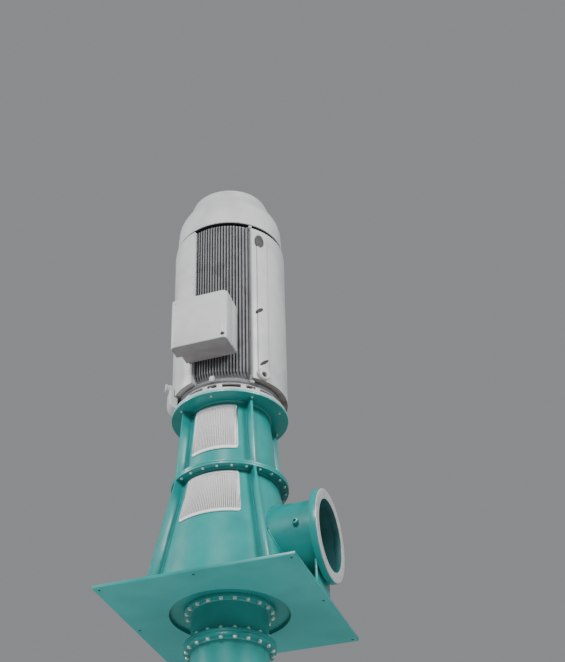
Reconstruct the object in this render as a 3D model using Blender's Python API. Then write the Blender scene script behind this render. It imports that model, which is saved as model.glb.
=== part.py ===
"""Vertical turbine pump: motor, discharge head, column and bowls, in metres with +Z up.

The pump's axis is vertical and the water leaves along +X. Z = 0 is the underside
of the sole plate. The origin lies on that underside, on the plate's own metal,
midway between its round opening and its front edge, so the axis stands behind it.
"""
import math

import bmesh
import bpy
from mathutils import Matrix

# General
SEAT = 0.0003              # gap between two faces that touch
FACETS = 40                # sides of a round piece, with a corner at each 45 degrees
WALL = 0.012               # rolled plate of the head

# Sole plate and head
PLATE_SIDE = 1.62
PLATE_THICK = 0.030
PLATE_HOLE_R = 0.4775
AXIS_Y = (PLATE_HOLE_R + PLATE_SIDE / 2) / 2
ANCHOR_R = 0.011
ANCHOR_INSET = 0.042
BASE_R = 0.745
BASE_TOP = 0.065
MID_R = 0.4884
MID_BORE_R = 0.335
MID_LOW, MID_SPLIT, MID_TOP = 1.10, 1.12, 1.14
TOP_FLANGE_R = 0.500
TOP_FLANGE_LOW, TOP_FLANGE_TOP = 1.785, 1.806
LOWER_CONE_R = (0.629, 0.4065)     # at the base plate, at the middle flange
UPPER_CONE_R = (0.400, 0.3435)     # at the middle flange, at the top flange
RIB_THICK = 0.022
RIB_TURNS = (45, 135, 225, 315)
LOWER_RIB_R = (0.735, 0.4884)
UPPER_RIB_R = (0.485, 0.4355)
GUARD_TURN, GUARD_HALF_TURN = -91.2, 31.9   # middle of the front guards, and half their width
GUARD_LAP = 0.024                  # how far a guard overlaps its opening
GUARD_THICK = 0.006
LOWER_GUARD_Z = (0.656, 1.072)
UPPER_GUARD_Z = (1.298, 1.750)

# Water way
PIPE_R = 0.305
PIPE_WALL = 0.0095
BORE_R = PIPE_R - PIPE_WALL
NOZZLE_Z = 0.5456
NOZZLE_END = 0.7900                # where the pipe meets its flange
NOZZLE_FACE = 0.8493
NOZZLE_FLANGE_R = 0.3814
SUPPORT_X = (0.757, 0.777)
SUPPORT_HALF = 0.160
BOSS_X, BOSS_R, BOSS_LONG = 0.662, 0.024, 0.035
COLUMN_FLANGE_R = 0.360
FLANGE_THICK = 0.0297
COLUMN_JOINT_Z = -0.2858
COLUMN_END_Z = -1.35
BOWL_JOINT_Z = -1.80
BELL_TOP_Z = -2.25
BELL_MOUTH_Z = -2.62
BOWL_R = 0.415
BOWL_FLANGE_R = 0.465
BELL_NECK_R = 0.345
BELL_R = 0.475
BELL_FLARE_Z = -2.40
CAST_WALL = 0.020
CAST_TAPER = (0.16, 0.18)          # height of the slanted wall in the upper and the lower bowl

# Shaft
SHAFT_R = 0.045
SHAFT_FOOT_Z = -2.30
SHAFT_JOINT_Z = 1.46
STUFFING_R, STUFFING_FOOT = 0.085, 0.50
STUFFING_FLANGE_R, STUFFING_FLANGE_Z = 0.115, (0.80, 0.83)
GLAND_NECK_R, GLAND_R, GLAND_Z = 0.075, 0.105, (0.885, 0.905)
FOLLOWER_R, FOLLOWER_TOP = 0.062, 0.93
COUPLING_R, COUPLING_HUB_R = 0.135, 0.078
COUPLING_HALF, COUPLING_FACE = 0.15, 0.030
IMPELLER_R, IMPELLER_RIM_Z = 0.355, (-2.02, -1.99)
IMPELLER_EYE_R, IMPELLER_HUB_R, IMPELLER_Z = 0.075, 0.085, (-2.21, -1.93)
BEARING_R, BEARING_Z = 0.075, (-2.53, -2.255)
VANE_THICK, VANE_Z = 0.018, (-2.50, -2.36)

# Motor
MOTOR_LOW = 1.945
MOTOR_TOP = 3.61
FRAME_R = 0.467
FIN_FLOOR_R = 0.400
FIN_PITCH = 0.0248
FIN_THICK = 0.010
FIN_COUNT = 20
FIRST_FIN_X = -0.153
SLOTTED_WALL_R = 0.430
COVER_R = 0.500
COVER_WALL = 0.015
COVER_TOPS = (3.598, 3.618)         # of the right cover, which leaves a gap under the hood, and the left
COVER_SHOULDER_Z = 3.53
COVER_TOP_R = 0.4905
COVER_LIP = 0.020
COVER_TURNS = (-46.5, 70.0)        # the other cover is this one turned by half a turn
DUCT_TURNS = (-41.0, -28.8)
DUCT_Z, DUCT_RISE, DUCT_SLANT = (2.02, 3.50), 0.014, 0.010
BOX_X = (-0.218, 0.243)
BOX_Y = (-0.739, -0.464)           # with the lid
BOX_Z = (2.148, 2.630)
LID_X = (-0.262, 0.245)
LID_Z = (2.140, 2.638)
LID_THICK, LID_CORNER = 0.154, 0.040
NECK_HALF, NECK_BACK, NECK_Z = 0.130, -0.405, (2.25, 2.55)      # of the box, between the fins
DRAIN_TURN = -148.5                # the middle of one flat of the left cover
DRAIN_BOX_R, DRAIN_BOX_WIDTH = 0.539, 0.150
DRAIN_BOX_Z = (1.863, 1.895, 1.940, 2.030)     # of its three corners from the foot up, and its top
PIN_R, PIN_END_R, PIN_Z = 0.036, 0.567, 2.072
HOOD_SEAT_R = 0.400
HOOD_RIM_R = 0.481
HOOD_RIM_Z = 3.629
HOOD_CROWN = ((0.4793, 3.70), (0.4741, 3.78), (0.4638, 3.86), (0.4336, 3.93), (0.3995, 3.99),
              (0.3758, 4.04), (0.3596, 4.09))      # radius and height, from the rim up to the cap
HOOD_TOP_R = 0.335
CAP_R = 0.346
CAP_Z = 4.104
CAP_THICK, CAP_EDGE, CAP_CHAMFER, CAP_CROWN = 0.028, 0.022, 0.008, 0.008
RING_BORE_R = 0.32
RING_WALL = 0.025
RING_FLANGE_R = 0.490
RING_FLANGE_TOP = 1.832
RING_CEILING_Z = 1.922
SLOT_Z = (1.842, 1.904)
WIDE_SLOT_TURN, NARROW_SLOT_TURN = 21.5, 11.5


def clear_scene():
    for piece in list(bpy.data.objects):
        bpy.data.objects.remove(piece)


def paint(name, colour, roughness, metallic=0.0):
    """A Principled material with a plain colour."""
    material = bpy.data.materials.new(name)
    material.use_nodes = True
    shader = material.node_tree.nodes["Principled BSDF"]
    shader.inputs["Base Color"].default_value = (*colour, 1.0)
    shader.inputs["Roughness"].default_value = roughness
    shader.inputs["Metallic"].default_value = metallic
    return material


clear_scene()
AXIS = bpy.data.objects.new("pump_axis", None)
AXIS.location = (0.0, AXIS_Y, 0.0)
bpy.context.scene.collection.objects.link(AXIS)

TEAL = paint("teal_enamel", (0.03, 0.32, 0.31), 0.40)
MOTOR_GREY = paint("motor_grey_enamel", (0.58, 0.58, 0.58), 0.45)
GUARD_GREY = paint("zinc_mesh", (0.62, 0.63, 0.62), 0.50, 0.6)
BARE_STEEL = paint("machined_steel", (0.55, 0.55, 0.54), 0.35, 1.0)
CAST_IRON = paint("bare_cast_iron", (0.16, 0.16, 0.16), 0.65, 0.5)


def piece_from(name, bm, material=None):
    """Close the mesh, shade it and hang it on the pump's axis."""
    bmesh.ops.remove_doubles(bm, verts=bm.verts, dist=0.00001)
    bmesh.ops.recalc_face_normals(bm, faces=bm.faces)
    mesh = bpy.data.meshes.new(name)
    bm.to_mesh(mesh)
    bm.free()
    if material:
        mesh.materials.append(material)
    mesh.shade_smooth()
    mesh.set_sharp_from_angle(angle=math.radians(30))
    piece = bpy.data.objects.new(name, mesh)
    bpy.context.scene.collection.objects.link(piece)
    piece.parent = AXIS
    return piece


def turned(name, outline, material=None, facets=FACETS):
    """Spin an outline of (radius, height) points about the pump's axis."""
    bm = bmesh.new()
    points = [bm.verts.new((radius, 0.0, height)) for radius, height in outline]
    edges = [bm.edges.new(pair) for pair in zip(points, points[1:])]
    if outline[0][0] > 0 or outline[-1][0] > 0:
        edges.append(bm.edges.new((points[-1], points[0])))
    bmesh.ops.spin(bm, geom=points + edges, axis=(0, 0, 1), cent=(0, 0, 0),
                   angle=math.tau, steps=facets, use_merge=True)
    return piece_from(name, bm, material)


def prism_mesh(outline, low, high):
    """An outline of (x, y) points pushed up from one height to another."""
    bm = bmesh.new()
    face = bm.faces.new([bm.verts.new((x, y, low)) for x, y in outline])
    top = bmesh.ops.extrude_face_region(bm, geom=[face])["geom"]
    moved = [item for item in top if isinstance(item, bmesh.types.BMVert)]
    bmesh.ops.translate(bm, verts=moved, vec=(0.0, 0.0, high - low))
    return bm


def prism(name, outline, low, high, material=None):
    return piece_from(name, prism_mesh(outline, low, high), material)


def block(name, x, y, z, material=None):
    """A box between two limits on each axis."""
    corners = [(x[0], y[0]), (x[1], y[0]), (x[1], y[1]), (x[0], y[1])]
    return prism(name, corners, z[0], z[1], material)


def circle(radius, facets=FACETS):
    turns = [math.tau * step / facets for step in range(facets)]
    return [(radius * math.cos(turn), radius * math.sin(turn)) for turn in turns]


def rod_along_x(name, radius, start, end, height, material=None, facets=FACETS):
    """A round bar that lies along X at one height on the pump's axis."""
    bm = prism_mesh(circle(radius, facets), start, end)
    lay = Matrix.Translation((0, 0, height)) @ Matrix.Rotation(math.pi / 2, 4, "Y")
    bmesh.ops.transform(bm, matrix=lay, verts=bm.verts)
    return piece_from(name, bm, material)


def sector(name, first, last, low, high, reach=1.3):
    """A slice of cake between two directions, in degrees."""
    steps = 4
    turns = [math.radians(first + (last - first) * step / steps) for step in range(steps + 1)]
    rim = [(reach * math.cos(turn), reach * math.sin(turn)) for turn in turns]
    return prism(name, [(0.0, 0.0)] + rim, low, high)


def shape_with(piece, cutter, operation="DIFFERENCE"):
    """Cut a piece with a guide, or keep only what the guide holds."""
    step = piece.modifiers.new(cutter.name, "BOOLEAN")
    step.operation = operation
    step.object = cutter
    cutter.hide_render = True
    cutter.display_type = "WIRE"


def radial_plate(name, outline, turn, thick, material):
    """A flat plate that stands on a radius: its outline has (radius, height) points."""
    bm = prism_mesh(outline, -thick / 2, thick / 2)
    stand = Matrix.Rotation(math.radians(turn), 4, "Z") @ Matrix.Rotation(math.pi / 2, 4, "X")
    bmesh.ops.transform(bm, matrix=stand, verts=bm.verts)
    return piece_from(name, bm, material)


def lower_cone_r(height):
    share = (height - BASE_TOP) / (MID_LOW - BASE_TOP)
    return LOWER_CONE_R[0] + (LOWER_CONE_R[1] - LOWER_CONE_R[0]) * share


def upper_cone_r(height):
    share = (height - MID_TOP) / (TOP_FLANGE_LOW - MID_TOP)
    return UPPER_CONE_R[0] + (UPPER_CONE_R[1] - UPPER_CONE_R[0]) * share


def make_sole_plate():
    half = PLATE_SIDE / 2
    plate = block("sole_plate", (-half, half), (-half, half), (0.0, PLATE_THICK), TEAL)
    shape_with(plate, prism("sole_plate_opening", circle(PLATE_HOLE_R), -0.1, 0.1))
    reach = half - ANCHOR_INSET
    for number, (x, y) in enumerate((x, y) for x in (-reach, 0, reach) for y in (-reach, 0, reach)):
        if x or y:
            hole = prism(f"anchor_hole_{number}", circle(ANCHOR_R, 12), -0.1, 0.1)
            hole.location = (x, y, 0.0)
            shape_with(plate, hole)


def make_flange_ring(name, outer, inner, low, high, material=TEAL):
    return turned(name, [(inner, low), (outer, low), (outer, high), (inner, high)], material)


def make_cone(name, radius_at, low, high, opening):
    """A rolled shell with a window opening at the front and one at the back."""
    shell = turned(name, [(radius_at(low) - WALL, low), (radius_at(low), low),
                          (radius_at(high), high), (radius_at(high) - WALL, high)], TEAL)
    half_turn = GUARD_HALF_TURN - 3.0
    for side, middle in (("front", GUARD_TURN), ("back", GUARD_TURN + 180)):
        slice_ = sector(f"{name}_{side}_opening", middle - half_turn, middle + half_turn,
                        opening[0] + GUARD_LAP, opening[1] - GUARD_LAP)
        shape_with(shell, slice_)
    return shell


def make_guard(name, radius_at, heights, middle):
    """A curved guard panel that lies on the cone over its opening."""
    low, high = heights
    inner_low, inner_high = radius_at(low) + SEAT, radius_at(high) + SEAT
    panel = turned(name, [(inner_low, low), (inner_low + GUARD_THICK, low),
                          (inner_high + GUARD_THICK, high), (inner_high, high)], GUARD_GREY)
    keep = sector(f"{name}_slice", middle - GUARD_HALF_TURN, middle + GUARD_HALF_TURN, low - 0.1, high + 0.1)
    shape_with(panel, keep, "INTERSECT")


def make_head():
    make_flange_ring("head_base_plate", BASE_R, BORE_R, PLATE_THICK + SEAT, BASE_TOP)
    lower = make_cone("head_lower_cone", lower_cone_r, BASE_TOP + SEAT, MID_LOW - SEAT, LOWER_GUARD_Z)
    shape_with(lower, rod_along_x("nozzle_hole", PIPE_R + SEAT, bend_r(), 1.0, NOZZLE_Z))
    shape_with(lower, piece_from("elbow_envelope", elbow_mesh(PIPE_R + SEAT, 0)))
    make_flange_ring("head_mid_flange_lower", MID_R, MID_BORE_R, MID_LOW, MID_SPLIT - SEAT)
    make_flange_ring("head_mid_flange_upper", MID_R, MID_BORE_R, MID_SPLIT, MID_TOP)
    make_cone("head_upper_cone", upper_cone_r, MID_TOP + SEAT, TOP_FLANGE_LOW - SEAT, UPPER_GUARD_Z)
    make_flange_ring("head_top_flange", TOP_FLANGE_R, 0.30, TOP_FLANGE_LOW, TOP_FLANGE_TOP)
    for side, middle in (("front", GUARD_TURN), ("back", GUARD_TURN + 180)):
        make_guard(f"lower_guard_{side}", lower_cone_r, LOWER_GUARD_Z, middle)
        make_guard(f"upper_guard_{side}", upper_cone_r, UPPER_GUARD_Z, middle)


def make_ribs():
    levels = (("lower", lower_cone_r, BASE_TOP, MID_LOW, LOWER_RIB_R),
              ("upper", upper_cone_r, MID_TOP, TOP_FLANGE_LOW, UPPER_RIB_R))
    for level, radius_at, low, high, outer in levels:
        outline = [(radius_at(low) + SEAT, low + SEAT), (outer[0], low + SEAT),
                   (outer[1], high - SEAT), (radius_at(high) + SEAT, high - SEAT)]
        for number, turn in enumerate(RIB_TURNS, 1):
            radial_plate(f"{level}_rib_{number}", outline, turn, RIB_THICK, TEAL)


def bend_r():
    """Middle radius of the pipe bend, which rises from the base plate to the nozzle."""
    return NOZZLE_Z - BASE_TOP - SEAT


def elbow_mesh(outer, inner, steps=8):
    """A pipe bend from the base plate to the nozzle, solid where inner is 0."""
    start = BASE_TOP + SEAT
    bend = bend_r()
    bm = bmesh.new()
    ends = []
    for radius, way in ((outer, 1), (inner, -1)):
        if radius:
            rim = [bm.verts.new((x, y, start)) for x, y in circle(radius)[::way]]
            edges = [bm.edges.new((rim[i - 1], rim[i])) for i in range(FACETS)]
            last = bmesh.ops.spin(bm, geom=rim + edges, axis=(0, 1, 0), cent=(bend, 0, start),
                                  angle=math.pi / 2, steps=steps)["geom_last"]
            ends.append((edges, [item for item in last if isinstance(item, bmesh.types.BMEdge)]))
    for loops in zip(*ends):
        if inner:
            bmesh.ops.bridge_loops(bm, edges=loops[0] + loops[1])
        else:
            bmesh.ops.contextual_create(bm, geom=loops[0])
    return bm


def make_discharge():
    elbow = piece_from("discharge_elbow", elbow_mesh(PIPE_R, BORE_R), TEAL)
    shaft_hole = prism("elbow_shaft_hole", circle(SHAFT_R + SEAT, 24), NOZZLE_Z - 0.15, NOZZLE_Z + PIPE_R)
    shape_with(elbow, shaft_hole)
    pipe = rod_along_x("discharge_pipe", PIPE_R, bend_r() + SEAT, NOZZLE_END, NOZZLE_Z, TEAL)
    bore = rod_along_x("nozzle_bore", BORE_R, 0.2, 1.0, NOZZLE_Z)
    shape_with(pipe, bore)
    flange = rod_along_x("discharge_flange", NOZZLE_FLANGE_R, NOZZLE_END + SEAT, NOZZLE_FACE, NOZZLE_Z, TEAL)
    shape_with(flange, bore)
    envelope = rod_along_x("pipe_envelope", PIPE_R + SEAT, 0.2, 1.0, NOZZLE_Z)
    support = block("nozzle_support", SUPPORT_X, (-SUPPORT_HALF, SUPPORT_HALF),
                    (PLATE_THICK + SEAT, NOZZLE_Z - PIPE_R / 2), TEAL)
    shape_with(support, envelope)
    boss = rod_along_x("gauge_boss", BOSS_R, PIPE_R + SEAT, PIPE_R + BOSS_LONG, 0.0, BARE_STEEL, 12)
    boss.rotation_euler = (0.0, 0.0, math.radians(-90))
    boss.location = (BOSS_X, 0.0, NOZZLE_Z)


def make_shaft_line():
    """The stuffing box on the pipe bend, the two shafts and the coupling between them."""
    bore = SHAFT_R + SEAT
    flange_low, flange_top = STUFFING_FLANGE_Z
    gland_low, gland_top = GLAND_Z
    housing = turned("stuffing_box", [
        (bore, STUFFING_FOOT), (STUFFING_R, STUFFING_FOOT), (STUFFING_R, flange_low),
        (STUFFING_FLANGE_R, flange_low), (STUFFING_FLANGE_R, flange_top), (GLAND_NECK_R, flange_top),
        (GLAND_NECK_R, gland_low), (GLAND_R, gland_low), (GLAND_R, gland_top), (FOLLOWER_R, gland_top),
        (FOLLOWER_R, FOLLOWER_TOP), (bore, FOLLOWER_TOP)], CAST_IRON, 24)
    shape_with(housing, bpy.data.objects["elbow_envelope"])
    turned("line_shaft", [(0, SHAFT_FOOT_Z), (SHAFT_R, SHAFT_FOOT_Z), (SHAFT_R, SHAFT_JOINT_Z),
                          (0, SHAFT_JOINT_Z)], BARE_STEEL, 24)
    low, high = SHAFT_JOINT_Z - COUPLING_HALF, SHAFT_JOINT_Z + COUPLING_HALF
    face_low, face_top = SHAFT_JOINT_Z - COUPLING_FACE, SHAFT_JOINT_Z + COUPLING_FACE
    turned("shaft_coupling", [
        (bore, low), (COUPLING_HUB_R, low), (COUPLING_HUB_R, face_low), (COUPLING_R, face_low),
        (COUPLING_R, face_top), (COUPLING_HUB_R, face_top), (COUPLING_HUB_R, high), (bore, high)],
        BARE_STEEL, 24)
    turned("motor_shaft", [(0, SHAFT_JOINT_Z + SEAT), (SHAFT_R, SHAFT_JOINT_Z + SEAT),
                           (SHAFT_R, MOTOR_LOW - SEAT), (0, MOTOR_LOW - SEAT)], BARE_STEEL, 24)


def make_spool(name, top, bottom):
    """A length of column pipe with a flange at each end."""
    turned(name, [(BORE_R, bottom), (COLUMN_FLANGE_R, bottom), (COLUMN_FLANGE_R, bottom + FLANGE_THICK),
                  (PIPE_R, bottom + FLANGE_THICK), (PIPE_R, top - FLANGE_THICK),
                  (COLUMN_FLANGE_R, top - FLANGE_THICK), (COLUMN_FLANGE_R, top), (BORE_R, top)], TEAL)


def make_column():
    make_spool("column_upper", PLATE_THICK, COLUMN_JOINT_Z)
    make_spool("column_lower", COLUMN_JOINT_Z - SEAT, COLUMN_END_Z)


def make_bowls():
    """The cast wet end: a diffuser, a bowl round the impeller, and the bell."""
    upper_taper, lower_taper = CAST_TAPER
    top, bottom = COLUMN_END_Z - SEAT, BOWL_JOINT_Z
    turned("discharge_bowl", [
        (COLUMN_FLANGE_R, top), (COLUMN_FLANGE_R, top - FLANGE_THICK), (PIPE_R, top - FLANGE_THICK),
        (BOWL_R, bottom + upper_taper), (BOWL_R, bottom + FLANGE_THICK), (BOWL_FLANGE_R, bottom + FLANGE_THICK),
        (BOWL_FLANGE_R, bottom), (BOWL_R - CAST_WALL, bottom), (BOWL_R - CAST_WALL, bottom + upper_taper),
        (BORE_R, top - FLANGE_THICK), (BORE_R, top)], TEAL)
    top, bottom = BOWL_JOINT_Z - SEAT, BELL_TOP_Z
    turned("pump_bowl", [
        (BOWL_FLANGE_R, top), (BOWL_FLANGE_R, top - FLANGE_THICK), (BOWL_R, top - FLANGE_THICK),
        (BOWL_R, bottom + lower_taper), (BELL_NECK_R + CAST_WALL, bottom + FLANGE_THICK),
        (BOWL_FLANGE_R, bottom + FLANGE_THICK), (BOWL_FLANGE_R, bottom), (BELL_NECK_R, bottom),
        (BOWL_R - CAST_WALL, bottom + lower_taper), (BOWL_R - CAST_WALL, top)], TEAL)
    top, bottom = BELL_TOP_Z - SEAT, BELL_MOUTH_Z
    turned("suction_bell", [
        (BOWL_FLANGE_R, top), (BOWL_FLANGE_R, top - FLANGE_THICK),
        (BELL_NECK_R + CAST_WALL, top - FLANGE_THICK), (BELL_NECK_R + CAST_WALL, BELL_FLARE_Z),
        (BELL_R, bottom), (BELL_R - CAST_WALL, bottom), (BELL_NECK_R, BELL_FLARE_Z),
        (BELL_NECK_R, top)], TEAL)


def bell_bore_r(height):
    share = (BELL_FLARE_Z - height) / (BELL_FLARE_Z - BELL_MOUTH_Z)
    return BELL_NECK_R + (BELL_R - CAST_WALL - BELL_NECK_R) * max(share, 0.0)


def make_rotor_and_bearing():
    bore = SHAFT_R + SEAT
    eye_z, hub_z = IMPELLER_Z
    turned("impeller", [
        (bore, eye_z), (IMPELLER_EYE_R, eye_z), (IMPELLER_EYE_R + 0.02, eye_z + 0.06),
        (IMPELLER_EYE_R + 0.125, eye_z + 0.15), (IMPELLER_R, IMPELLER_RIM_Z[0]),
        (IMPELLER_R, IMPELLER_RIM_Z[1]), (IMPELLER_HUB_R + 0.065, hub_z - 0.04), (IMPELLER_HUB_R, hub_z),
        (bore, hub_z)], CAST_IRON, 24)
    nose_z, top = BEARING_Z
    foot = SHAFT_FOOT_Z - SEAT
    hub = turned("bell_bearing", [
        (0, nose_z), (BEARING_R - 0.025, nose_z), (BEARING_R, nose_z + 0.05), (BEARING_R, top),
        (bore, top), (bore, foot), (0, foot)], TEAL, 24)
    low, high = VANE_Z
    clear = 0.001
    half = [(bell_bore_r(low) - clear, low), (BELL_NECK_R - clear, BELL_FLARE_Z), (BELL_NECK_R - clear, high)]
    outline = half + [(-radius, height) for radius, height in reversed(half)]
    for number, turn in enumerate((0, 90), 1):
        vane = radial_plate(f"bell_vane_{number}", outline, turn, VANE_THICK, None)
        shape_with(hub, vane, "UNION")


def make_motor_ring():
    """The slotted ring that carries the motor on the head."""
    low, top = TOP_FLANGE_TOP + SEAT, MOTOR_LOW - SEAT
    wall = SLOTTED_WALL_R - RING_WALL
    ring = turned("motor_base_ring", [
        (RING_BORE_R, low), (RING_FLANGE_R, low), (RING_FLANGE_R, RING_FLANGE_TOP),
        (SLOTTED_WALL_R, RING_FLANGE_TOP), (SLOTTED_WALL_R, SLOT_Z[1] + 0.004), (FRAME_R, RING_CEILING_Z),
        (FRAME_R, top), (RING_BORE_R, top), (RING_BORE_R, RING_CEILING_Z), (wall, RING_CEILING_Z),
        (wall, RING_FLANGE_TOP), (RING_BORE_R, RING_FLANGE_TOP)], MOTOR_GREY)
    for number in range(16):
        width = NARROW_SLOT_TURN if number % 2 == 0 else WIDE_SLOT_TURN
        middle = 22.5 * number
        slot = sector(f"ring_slot_{number}", middle - width / 2, middle + width / 2, *SLOT_Z, reach=0.6)
        shape_with(ring, slot)


def comb_half():
    """Front half of the frame's plan, from -X round to +X, with its gaps between fins."""
    first = FIRST_FIN_X + FIN_THICK / 2
    gaps = [(first + FIN_PITCH * number, first + FIN_PITCH * (number + 1) - FIN_THICK)
            for number in range(FIN_COUNT - 1)]
    tip_r = FRAME_R * math.cos(math.pi / FACETS)      # inside the flats that the covers lie on
    points = [(x, y) for x, y in circle(FRAME_R) if y < -0.0001 and x < gaps[0][0] - 0.004]
    for start, end in gaps:
        floor = -math.sqrt(FIN_FLOOR_R ** 2 - ((start + end) / 2) ** 2)
        points.append((start, -math.sqrt(tip_r ** 2 - start ** 2)))
        points.append((start, floor))
        points.append((end, floor))
        points.append((end, -math.sqrt(tip_r ** 2 - end ** 2)))
    points += sorted((x, y) for x, y in circle(FRAME_R) if y < 0.0001 and x > gaps[-1][1] + 0.004)
    return points


def make_motor():
    front = comb_half()
    outline = front + [(-x, -y) for x, y in front]
    frame = prism("motor_frame", outline, MOTOR_LOW, MOTOR_TOP, MOTOR_GREY)
    seat = block("terminal_box_seat", (BOX_X[0] - SEAT, BOX_X[1] + SEAT), (-0.9, BOX_Y[1]),
                 (BOX_Z[0] - SEAT, BOX_Z[1] + SEAT))
    shape_with(frame, seat)
    shape_with(frame, neck_block("neck_seat", SEAT))
    inner, skin = FRAME_R + SEAT, COVER_R - COVER_WALL
    first, last = COVER_TURNS
    for side, turn, top in (("right", 0, COVER_TOPS[0]), ("left", 180, COVER_TOPS[1])):
        cover = turned(f"motor_cover_{side}", [
            (inner, MOTOR_LOW), (COVER_R, MOTOR_LOW), (COVER_R, COVER_SHOULDER_Z), (COVER_TOP_R, top),
            (inner, top), (inner, top - COVER_LIP), (skin, COVER_SHOULDER_Z - COVER_LIP),
            (skin, MOTOR_LOW + COVER_LIP), (inner, MOTOR_LOW + COVER_LIP)], MOTOR_GREY)
        keep = sector(f"cover_{side}_slice", first + turn, last + turn, 1.8, 3.8)
        shape_with(cover, keep, "INTERSECT")
        shape_with(cover, seat)
    low, high = DUCT_Z
    duct_r = COVER_R + DUCT_RISE
    duct = turned("cable_duct", [(COVER_R + SEAT, low), (duct_r, low + DUCT_SLANT),
                                 (duct_r, high - DUCT_SLANT), (COVER_R + SEAT, high)], MOTOR_GREY)
    shape_with(duct, sector("cable_duct_slice", *DUCT_TURNS, 1.9, 3.6), "INTERSECT")
    flat_r = COVER_R * math.cos(math.pi / FACETS) + SEAT
    low, high = RING_FLANGE_TOP + SEAT, MOTOR_LOW - SEAT
    heel_z, knee_z, side_z, top_z = DRAIN_BOX_Z
    radial_plate("drain_box", [
        (inner, low), (RING_FLANGE_R - 0.005, low), (DRAIN_BOX_R - 0.045, heel_z),
        (DRAIN_BOX_R - 0.017, knee_z), (DRAIN_BOX_R, side_z), (DRAIN_BOX_R, top_z - 0.010),
        (DRAIN_BOX_R - 0.010, top_z), (flat_r, top_z), (flat_r, high), (inner, high)],
        DRAIN_TURN, DRAIN_BOX_WIDTH, MOTOR_GREY)
    pin = rod_along_x("lifting_pin", PIN_R, flat_r, PIN_END_R, 0.0, MOTOR_GREY, 16)
    pin.rotation_euler = (0.0, 0.0, math.radians(DRAIN_TURN))
    pin.location = (0.0, 0.0, PIN_Z)


def neck_block(name, spare=0.0):
    """The neck that carries the terminal box, between the fins of the frame."""
    half, (low, high) = NECK_HALF + spare, NECK_Z
    return block(name, (-half, half), (BOX_Y[1] - 0.03, NECK_BACK + spare), (low - spare, high + spare))


def rounded_front(x, y, radius, steps=4):
    """A rectangle's plan with its two front corners rounded."""
    points = [(x[1], y[1]), (x[0], y[1])]
    for middle, start in ((x[0] + radius, 180), (x[1] - radius, 270)):
        for step in range(steps + 1):
            turn = math.radians(start + 90 * step / steps)
            points.append((middle + radius * math.cos(turn), y[0] + radius + radius * math.sin(turn)))
    return points


def make_terminal_box():
    lid_back = BOX_Y[0] + LID_THICK
    box = block("terminal_box", BOX_X, (lid_back + SEAT, BOX_Y[1] - SEAT), BOX_Z, MOTOR_GREY)
    lid = prism("terminal_box_lid", rounded_front(LID_X, (BOX_Y[0], lid_back), LID_CORNER), *LID_Z, MOTOR_GREY)
    for piece, width in ((box, 0.012), (lid, 0.008)):
        edge = piece.modifiers.new("edges", "BEVEL")
        edge.width = width
        edge.segments = 2
    shape_with(box, neck_block("terminal_box_neck"), "UNION")


def make_hood():
    turned("fan_hood", [(0, MOTOR_TOP + SEAT), (HOOD_SEAT_R, MOTOR_TOP + SEAT), (HOOD_SEAT_R, HOOD_RIM_Z),
                        (HOOD_RIM_R, HOOD_RIM_Z), *HOOD_CROWN, (HOOD_TOP_R, CAP_Z - SEAT), (0, CAP_Z - SEAT)],
           MOTOR_GREY)
    cap_top = CAP_Z + CAP_THICK
    turned("hood_cap", [(0, CAP_Z), (CAP_R, CAP_Z), (CAP_R, CAP_Z + CAP_EDGE),
                        (CAP_R - CAP_CHAMFER, cap_top), (0, cap_top + CAP_CROWN)], MOTOR_GREY)


make_sole_plate()
make_head()
make_ribs()
make_discharge()
make_shaft_line()
make_column()
make_bowls()
make_rotor_and_bearing()
make_motor_ring()
make_motor()
make_terminal_box()
make_hood()
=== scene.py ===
"""The looks of a vertical turbine pump, from its suction bell up to the fan hood of its motor.

Metres, +Z up along the pump's axis, water leaving along +X, terminal box towards -Y.
"""
import math

import bpy
from mathutils import Matrix, Vector


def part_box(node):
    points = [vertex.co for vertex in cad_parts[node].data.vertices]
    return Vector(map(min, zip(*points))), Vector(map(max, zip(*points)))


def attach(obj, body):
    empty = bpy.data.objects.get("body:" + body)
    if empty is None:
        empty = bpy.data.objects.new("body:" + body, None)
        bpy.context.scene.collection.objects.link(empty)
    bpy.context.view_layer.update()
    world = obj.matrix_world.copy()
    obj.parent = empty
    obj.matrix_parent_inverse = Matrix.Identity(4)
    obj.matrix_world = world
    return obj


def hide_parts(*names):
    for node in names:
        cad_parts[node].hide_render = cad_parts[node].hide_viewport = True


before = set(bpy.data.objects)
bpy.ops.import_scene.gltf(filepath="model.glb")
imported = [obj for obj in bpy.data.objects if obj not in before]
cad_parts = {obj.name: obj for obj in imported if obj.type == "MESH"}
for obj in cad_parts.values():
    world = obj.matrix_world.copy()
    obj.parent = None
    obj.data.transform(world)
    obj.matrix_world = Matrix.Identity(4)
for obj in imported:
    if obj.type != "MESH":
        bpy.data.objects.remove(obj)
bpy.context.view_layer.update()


# Column pipe
# Two lengths of welded steel pipe with a flange at each end, bolted under the base plate of the
# discharge head and to each other. Shop-primed, then painted inside and out with teal enamel.

AXIS_Y = (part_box("column_upper")[0][1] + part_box("column_upper")[1][1]) / 2
ROUND_STEPS, FINE_STEPS = 96, 128
SHARP, DOUBLES = math.radians(32), 0.00002
PIPE_R, PIPE_BORE_R = 0.305, 0.2955
COLUMN_FLANGE_R, COLUMN_FLANGE_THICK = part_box("column_lower")[1][0], 0.0297
WELD = 0.010


def linear(shade):
    """The linear colour of an sRGB hex value, as a shader takes it."""
    parts = [int(shade[place:place + 2], 16) / 255 for place in (1, 3, 5)]
    return (*(part / 12.92 if part <= 0.04045 else ((part + 0.055) / 1.055) ** 2.4 for part in parts), 1.0)


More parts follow.
